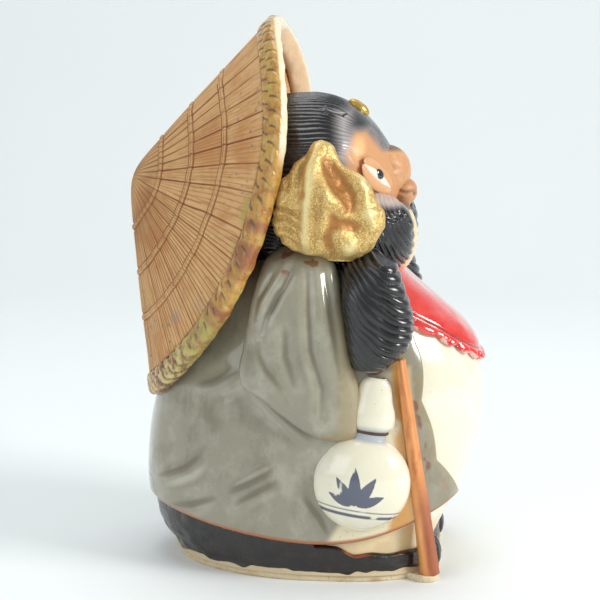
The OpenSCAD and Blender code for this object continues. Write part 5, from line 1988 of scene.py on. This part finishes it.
@dataclass
class Bundle:
    """Gold cloth bundle gathered on the right shoulder."""

    place: Point = (-52.2, -14.5, 145.0)
    height: float = 52.0
    dimple: Pair = (-4.4, 174.2)
    rows: Rows = (
        (0, 0, -6, 3, 6), (0.08, 0, -3, 9, 15.5), (0.22, 0, 0, 12.5, 21.5), (0.4, 0, 0, 13, 22.5),
        (0.6, 0, 2.5, 12.5, 19), (0.78, 0, 4.6, 9.3, 11.2), (0.88, 0, 4, 6.6, 6.8),
        (0.95, 0, 3.6, 4.4, 4.6), (0.985, 0, 3.2, 2.6, 2.7), (1, 0, 3, 0.8, 0.8))
    folds: tuple[Fold, ...] = (
        Fold(((-11.4, 202), (-8.4, 184.6), (-7.1, 172.4), (-6.2, 160), (-6, 145)), 3.0, -2.2, 0),
        Fold(((-14, 198), (-18.3, 191.6), (-24.3, 186.3), (-30.3, 175.8), (-31.2, 166)), 2.6, -2.2, 0),
        Fold(((-32.5, 169), (-33, 158)), 4.0, -2.2, 0),
        Fold(((-29, 153), (-21, 150)), 4.0, -1.8, 0),
        Fold(((-14, 181), (-15, 170), (-12, 157)), 2.2, -1.2, 0),
        Fold(((-6.6, 194), (-3.6, 184.6), (-4.2, 175)), 1.8, 1.8, 0),
        Fold(((4, 190), (2, 180), (4, 172)), 1.8, 1.0, 0),
        Fold(((8.9, 168.5), (3, 168), (-3.7, 164)), 1.0, 1.3, 0.6),
        Fold(((8.5, 164), (2, 164), (-3, 160)), 1.0, 1.3, 0.6),
        Fold(((8, 159.5), (2, 159.5), (-3, 156)), 1.0, 1.2, 0.6),
        Fold(((7, 155), (2, 155), (-2, 152)), 0.9, 1.0, 0.5))
    hollows: tuple[Fold, ...] = (
        Fold(((-12.3, 191), (-18.5, 182.5), (-25, 174), (-26.5, 165)), 4.6, 3.2, 0),
        Fold(((-15, 168), (-20, 162), (-27, 160.5), (-34, 163)), 2.9, 2.2, 0),
        Fold(((-17, 163), (-15.2, 155), (-19, 146)), 2.8, 2.0, 0),
        Fold(((-10.5, 176), (-11, 166), (-9.5, 152)), 2.2, 1.2, 0))

    def cloth(self) -> Cast:
        """Bundle: squared rings up a leaning line, pleated all round, with the drawn folds and knots over it.

        Returns:
            The clay.
        """
        table = np.array(self.rows, float)
        rise = np.linspace(0, 1, count(170))
        u = (0.5 - 0.5 * np.cos(np.pi * rise))[:, None]
        angle = columns_of(320)
        x, y = oval(angle, smooth_rows(table, 3, u), smooth_rows(table, 4, u), smooth_rows(table, 4, u))
        k = 1 + 0.09 * np.sin(5 * angle + u * np.pi / 2) * np.sin(np.pi * u)
        base = xyz(smooth_rows(table, 1, u) + x * k, smooth_rows(table, 2, u) + y * k, u * self.height)
        base = base + np.array(self.place)
        py, pz = base[..., 1], base[..., 2]
        relief = sum(fold.height(py, pz) for fold in (*self.folds, *self.hollows))
        gather = 0.3 * comb(9 * angle + 3 * rumple(base, 9, 121)) * fade(u, 0.8, 0.95)
        ends = fade(u, 0.0, 0.06) * fade(1 - u, 0.0, 0.05)
        dimple = np.exp(-((py - self.dimple[0]) ** 2 + (pz - self.dimple[1]) ** 2) / 5)
        height = (relief + 1.1 * rumple(base, 9, 122) + 0.45 * rumple(base, 3.2, 124) - 0.8 * gather
                  - 1.2 * dimple) * ends
        # hollow: the folds' hollows, given a painted shade through the groove mark.
        hollow = unit(-0.45 * relief)
        deep = sum(fold.shade(py, pz) for fold in self.hollows)
        # orange: a painted orange-brown shadow along the hollows and in the dimple.
        orange = unit(0.8 * deep * fade(rumple(base, 4, 123), -0.9, 0.3) + 1.2 * dimple)
        # The crest mark paints a highlight on the raised folds.
        return tube(raised(base, height), {"groove": unit(hollow + 0.6 * gather), "rust_and_painted_shadow": orange,
                                           "crest": unit(0.4 * relief)})

    def build(self, kiln: Kiln) -> None:
        """Make and finish the bundle."""
        kiln.fire("gathered_bundle", [self.cloth()], GOLD, ("gold_bundle",))


@dataclass
class Staff:
    """Staff under the right paw."""

    foot: Point = (-44.0, -60.0, 3.0)
    tip: Point = (-53.0, -46.6, 102.0)
    wide: float = 4.6
    thin: float = 1.9

    def rod(self) -> Cast:
        """Tapered rod with long flats, carried along the straight line from foot to tip.

        Returns:
            The clay.
        """
        foot, tip = np.array(self.foot), np.array(self.tip)
        t = rows_of(160)
        angle = columns_of(80)
        axis = (tip - foot) / np.linalg.norm(tip - foot)
        side = np.cross(axis, [0.0, 1.0, 0.0])
        side = side / np.linalg.norm(side)
        fore = np.cross(axis, side)
        r = self.wide + (self.thin - self.wide) * t
        line = foot + t[..., None] * (tip - foot)
        grid = line + r[..., None] * (np.cos(angle)[..., None] * side + np.sin(angle)[..., None] * fore)
        grid[..., 2] = np.maximum(grid[..., 2], 3.0)
        flats = 0.25 * np.cos(5 * angle + 3 * t) + 0.3 * strand_noise(grid, (4, 4, 22), 131)
        grid = raised(grid, flats * fade(t, 0, 0.05))
        warm = (fade(grid[..., 1] - line[..., 1], 0.5, 3.5)
                * fade(strand_noise(grid, (5, 5, 40), 132), -0.6, 0.3))
        ruddy = (fade(line[..., 1] - grid[..., 1], -3, 2) * (1 - fade(grid[..., 2], 25, 70))
                 * (0.8 + 0.2 * warm))
        return tube(grid, {"warm": warm, "rust_and_painted_shadow": ruddy,
                           "groove": 0.5 * fade(strand_noise(grid, (2, 2, 18), 133), 0.3, 0.8)})

    def build(self, kiln: Kiln) -> None:
        """Make and finish the staff."""
        kiln.fire("held_staff", [self.rod()], TERRACOTTA, ("staff",))


@dataclass
class Bottle:
    """Sake bottle at the right hip: belly, waist cord and neck."""

    place: Point = (-51.5, -29.5, 46.0)
    lean: float = 8.0
    squash: float = 27 / 44
    belly: float = 22.0
    waist_z: float = 24.0
    waist: float = 8.0
    cord: float = 0.95
    cord_strands: int = 40
    bands: tuple[Point, ...] = ((-12.5, 0.9, 1.0), (-10.0, 0.4, 0.8))
    leaves_from: Pair = (1.0, -8.5)
    leaves: Rows = (
        (-62, 13, 2.3, 1.5), (-28, 16, 2.6, 1.0), (6, 18, 2.8, 0.5), (38, 15, 2.5, 1.0),
        (68, 12, 2.1, 1.5))
    neck: Line = (
        (8, 0), (9.2, 0.8), (10.7, 3), (10.9, 6.5), (10.3, 9.6), (9.3, 12.2), (8.5, 14.6), (8, 17),
        (7.4, 19.4), (6.4, 21.6),
        (5.2, 23.2), (4.1, 24), (3.1, 23.6), (2.8, 22))

    def hung(self, local: Array) -> Array:
        """Local points flattened, leant and moved to the hip."""
        return ((local * np.array([self.squash, 1, 1])) @ spin(0, math.radians(self.lean)).T
                + np.array(self.place))

    def spun(self, radius: Array, z: Array, columns: int) -> Array:
        """A profile of radius and height carried round the bottle's axis."""
        angle = turns(columns)[None, :]
        return xyz(-np.sin(angle) * radius[:, None], -np.cos(angle) * radius[:, None], z[:, None])

    def brush(self, y: Array, z: Array) -> Array:
        """Brush marks in the side view: bands round the foot, and leaf strokes that fan from one place.

        Args:
            y: places from front to back.
            z: their heights.

        Returns:
            The strength, 0 to 1.
        """
        band = sum(strength * bell(z - height, width) for height, width, strength in self.bands)
        leaves = np.zeros(y.shape)
        dy, dz = y - self.leaves_from[0], z - self.leaves_from[1]
        for lean, length, wide, start in self.leaves:
            a = math.radians(lean)
            along = dy * math.sin(a) + dz * math.cos(a) - start
            aside = dy * math.cos(a) - dz * math.sin(a)
            t = unit(along / length)
            body = wide * np.sin(np.pi * t ** 0.8) ** 0.9
            leaf = fade(body - np.abs(aside), -0.2, 0.5) * (along > 0) * (along < length)
            leaves = np.maximum(leaves, leaf)
        return unit(np.maximum(band, leaves))

    def build(self, kiln: Kiln) -> None:
        """Make and finish the bottle's three pieces.

        Args:
            kiln: where the pieces are fired.
        """
        rise = np.linspace(-np.pi / 2, math.radians(68), count(110))[1:]
        ball_r, ball_z = self.belly * np.cos(rise), self.belly * np.sin(rise)
        neck_z = np.linspace(ball_z[-1], self.waist_z, count(12))[1:]
        radius = np.concatenate([ball_r,
                                 ball_r[-1] + (self.waist - ball_r[-1])
                                 * fade(neck_z, ball_z[-1], self.waist_z - 1)])
        local = self.spun(radius, np.concatenate([ball_z, neck_z]), count(260))
        local = local * (1 + 0.006 * rumple(local, 14, 141))[..., None]
        y, z = local[..., 1], local[..., 2]
        dapple = 0.55 + 0.45 * rumple(local, 4, 142)
        marks = {"brush": self.brush(y, z) * fade(dapple, 0.1, 0.5) * (local[..., 0] < 6),
                 "blue": 0.8 * fade(z, 18, 21),
                 "rust_and_painted_shadow": unit(0.5 * fade(z, 22, 23.5) + 0.4 * fade(-z, 19, 22))}
        kiln.fire("sake_belly", [tube(self.hung(local), marks)], GLOSSY_CREAM, ("bottle_body",))
        profile = np.array(self.neck)
        t, fine = np.linspace(0, 1, len(profile)), np.linspace(0, 1, count(90))
        table_r, table_z = np.stack([t, profile[:, 0]], -1), np.stack([t, profile[:, 1]], -1)
        radius, height = smooth_rows(table_r, 1, fine), smooth_rows(table_z, 1, fine)
        local = self.spun(radius, height + self.waist_z, count(160))
        mouth = fade(fine, 0.84, 0.9)[:, None] + np.zeros(local.shape[:2])
        marks = {"groove": mouth * 0.9, "blue": 0.6 * (1 - fade(local[..., 2], 25, 29)),
                 "rust_and_painted_shadow": 0.8 * (1 - fade(local[..., 2], 24.5, 26))}
        kiln.fire("sake_neck", [tube(self.hung(local), marks)], GLOSSY_CREAM, ("bottle_neck",))
        turn, angle = turns(count(24))[:, None], columns_of(240)
        thick = self.cord * (1 + 0.12 * np.sin(self.cord_strands * angle + turn))
        radius = self.waist + thick * np.cos(turn)
        local = xyz(-np.sin(angle) * radius, -np.cos(angle) * radius, self.waist_z + thick * np.sin(turn))
        twist = comb(self.cord_strands * angle + turn)
        kiln.fire("waist_cord", [tube(self.hung(local), {"groove": twist}, looped=True)], CORD_BROWN,
                  ("bottle_cord",))


@dataclass
class Book:
    """Account book that hangs from the left paw by a loop of cord."""

    place: Point = (51.0, -35.0, 90.0)
    turn: float = 28.0
    size: Point = (8.0, 25.0, 36.0)

    def at_paw(self, local: Array) -> Array:
        """Local points turned about the upright and moved to the paw."""
        return local @ spin(2, math.radians(self.turn)).T + np.array(self.place)

    def build(self, kiln: Kiln) -> None:
        """Make and finish the book and its cord.

        Args:
            kiln: where the pieces are fired.
        """
        thick, wide, high = self.size
        rise = np.linspace(-np.pi / 2, np.pi / 2, count(150) + 2)[1:-1, None]
        angle = columns_of(240)

        def squared(value: Array) -> Array:
            """A sine or cosine drawn out to the corners of a box."""
            return np.sign(value) * np.abs(value) ** 0.16
        ring = squared(np.cos(rise))
        box = xyz(thick / 2 * ring * squared(np.cos(angle)), wide / 2 * ring * squared(np.sin(angle)),
                  high / 2 * squared(np.sin(rise)))
        cover = np.abs(box[..., 0]) > thick / 2 - 1.1
        pages = comb(box[..., 0] * 2 * np.pi / 0.9) * ~cover * (np.abs(box[..., 1]) > wide / 2 - 1.5)
        spine = bell(box[..., 1] - wide / 2 + 3.2, 0.5) * cover
        frame_line = bell(np.maximum(np.abs(box[..., 1]) / wide, np.abs(box[..., 2]) / high) - 0.42,
                          0.012) * cover
        grid = raised(box, -0.3 * pages - 0.3 * spine - 0.15 * frame_line)
        band = bell(box[..., 2] - 8, 2.0) * cover * (np.abs(box[..., 1]) < wide * 0.36)
        marks = {"groove": unit(0.5 * pages + 0.6 * spine), "brush": unit(0.8 * frame_line + 0.9 * band)}
        book = tube(self.at_paw(grid + np.array([thick / 2, 0, -high / 2])), marks)
        kiln.fire("hung_book", [book], GLOSSY_CREAM, ("account_book",))
        t = np.linspace(0, np.pi, count(90))[:, None]
        turn = columns_of(20)
        path_y, path_z = 5.0 * np.cos(t) * (1 + 0.25 * np.sin(t)), 13.0 * np.sin(t) ** 0.7 - 0.6
        path = np.stack([path_y, path_z], -1)[:, 0]
        way = np.gradient(path, axis=0)
        way = way / np.linalg.norm(way, axis=-1, keepdims=True)
        r = 0.9 * (1 + 0.1 * np.sin(30 * t + turn))
        local = xyz(thick / 2 + r * np.cos(turn), path_y - r * np.sin(turn) * way[:, 1:2],
                    path_z + r * np.sin(turn) * way[:, 0:1])
        kiln.fire("book_loop", [tube(self.at_paw(local), {"groove": comb(30 * t + turn)})], CORD_BROWN,
                  ("book_cord",))


# Floor, light and camera

@dataclass(frozen=True)
class Lamp:
    """Square soft lamp: its place and size in metres, its power and its colour."""

    name: str
    place: Point
    size: float
    watts: float
    colour: Colour


@dataclass
class Studio:
    """Pale sweep, soft lamps and the camera at the photograph's viewing angle, in metres."""

    backdrop: Colour = fired((242, 250, 251))
    target: Point = (0.0, 0.003, 0.119)
    azimuth: float = 6.0
    elevation: float = 9.0
    distance: float = 0.82
    lens: float = 105.47
    sensor: float = 36.0
    sky_colour: Colour = (0.96, 0.99, 1.0)
    sky_strength: float = 0.5
    bend_from: float = 0.8
    bend: float = 0.8
    half_wide: float = 3.0
    lamps: tuple[Lamp, ...] = (
        Lamp("key_front", (-0.5, -1.5, 0.85), 0.6, 20.0, (1.0, 0.985, 0.96)),
        Lamp("fill_side", (-1.15, 0.95, 0.7), 1.0, 4.3, (0.95, 0.97, 1.0)),
        Lamp("top_soft", (0.2, 0.2, 1.4), 0.9, 6.0, (1.0, 1.0, 1.0)))

    def floor(self) -> None:
        """Floor that bends up into a backdrop: a line with a quarter round, carried across the view."""
        angle = math.radians(self.azimuth)
        way = np.array([math.cos(angle), math.sin(angle)])
        aside = np.array([-way[1], way[0]])
        turn = np.linspace(0, np.pi / 2, 24)[1:]
        start, far = self.bend_from, self.half_wide
        depth = np.concatenate([[-far, -1.0, 0.0, start], start + self.bend * np.sin(turn),
                                [start + self.bend]])
        height = np.concatenate([[0, 0, 0, 0], self.bend - self.bend * np.cos(turn), [far]])
        across = np.linspace(-far, far, 9)
        xy = depth[:, None, None] * way + across[None, :, None] * aside
        grid = np.concatenate([xy, np.broadcast_to(height[:, None, None], xy.shape[:2] + (1,))], -1)
        rows, columns = grid.shape[:2]
        i, j = np.meshgrid(np.arange(rows - 1), np.arange(columns - 1), indexing="ij")
        a = (i * columns + j).ravel()
        mesh = bpy.data.meshes.new("pale_sweep")
        mesh.from_pydata(grid.reshape(-1, 3).tolist(), [],
                         np.stack([a, a + columns, a + columns + 1, a + 1], -1).tolist())
        mesh.polygons.foreach_set("use_smooth", np.ones(len(mesh.polygons), bool))
        bench = Bench("pale_floor")
        haze = bench.out("ShaderNodeTexNoise", 0, None,
                         {"Vector": bench.out("ShaderNodeTexCoord", "Object"), "Scale": 3.0})
        colour = bench.blend(fired((242, 248, 249)), fired((247, 251, 251)), haze)
        matt = bench.out("ShaderNodeBsdfPrincipled", 0, None, {"Base Color": colour, "Roughness": 0.7})
        bench.node("ShaderNodeOutputMaterial", None, {0: matt})
        mesh.materials.append(bench.material)
        sweep = bpy.data.objects.new("pale_sweep", mesh)
        bpy.context.scene.collection.objects.link(sweep)

    def hang(self, lamp: Lamp) -> None:
        """Hang a lamp and turn it to the figure.

        Args:
            lamp: the lamp.
        """
        data = bpy.data.lights.new(lamp.name, "AREA")
        data.size, data.energy, data.color = lamp.size, lamp.watts, lamp.colour
        piece = bpy.data.objects.new(lamp.name, data)
        piece.location = lamp.place
        way = Vector(self.target) - Vector(lamp.place)
        piece.rotation_euler = way.to_track_quat("-Z", "Y").to_euler()
        bpy.context.scene.collection.objects.link(piece)

    def sky(self) -> None:
        """World: soft light for the scene, and a pale backdrop where the camera or a gloss looks past it."""
        world = bpy.data.worlds.new("studio_world")
        world.use_nodes = True
        bpy.context.scene.world = world
        tree = world.node_tree
        tree.nodes.clear()
        soft, pale = tree.nodes.new("ShaderNodeBackground"), tree.nodes.new("ShaderNodeBackground")
        soft.inputs["Color"].default_value = (*self.sky_colour, 1.0)
        soft.inputs["Strength"].default_value = self.sky_strength
        pale.inputs["Color"].default_value = (*self.backdrop, 1.0)
        path, mix = tree.nodes.new("ShaderNodeLightPath"), tree.nodes.new("ShaderNodeMixShader")
        tree.links.new(path.outputs["Is Camera Ray"], mix.inputs[0])
        tree.links.new(soft.outputs[0], mix.inputs[1])
        tree.links.new(pale.outputs[0], mix.inputs[2])
        tree.links.new(mix.outputs[0], tree.nodes.new("ShaderNodeOutputWorld").inputs[0])

    def camera(self) -> None:
        """Camera at the photograph's angle and distance."""
        a, e = math.radians(self.azimuth), math.radians(self.elevation)
        back = Vector((-math.cos(a) * math.cos(e), -math.sin(a) * math.cos(e), math.sin(e)))
        data = bpy.data.cameras.new("view")
        data.lens, data.sensor_width = self.lens, self.sensor
        camera = bpy.data.objects.new("view", data)
        camera.location = Vector(self.target) + self.distance * back
        camera.rotation_euler = (-back).to_track_quat("-Z", "Y").to_euler()
        bpy.context.scene.collection.objects.link(camera)
        bpy.context.scene.camera = camera

    def build(self) -> None:
        """Set up camera, floor, world and lamps."""
        self.camera()
        self.floor()
        self.sky()
        for lamp in self.lamps:
            self.hang(lamp)
        bpy.context.scene.view_settings.view_transform = "Standard"


def main() -> None:
    """Set up the studio and build every sub-assembly in order."""
    logging.basicConfig(level=logging.INFO, format="%(name)s: %(message)s")
    Studio().build()
    kiln = Kiln()
    for part in (Base(), Belly(), Robe(), Bib(), Head(), Hat(), Arms(), Bundle(), Staff(), Bottle(),
                 Book()):
        part.build(kiln)
        log.info("%s done", type(part).__name__)


if __name__ == "__main__":
    main()
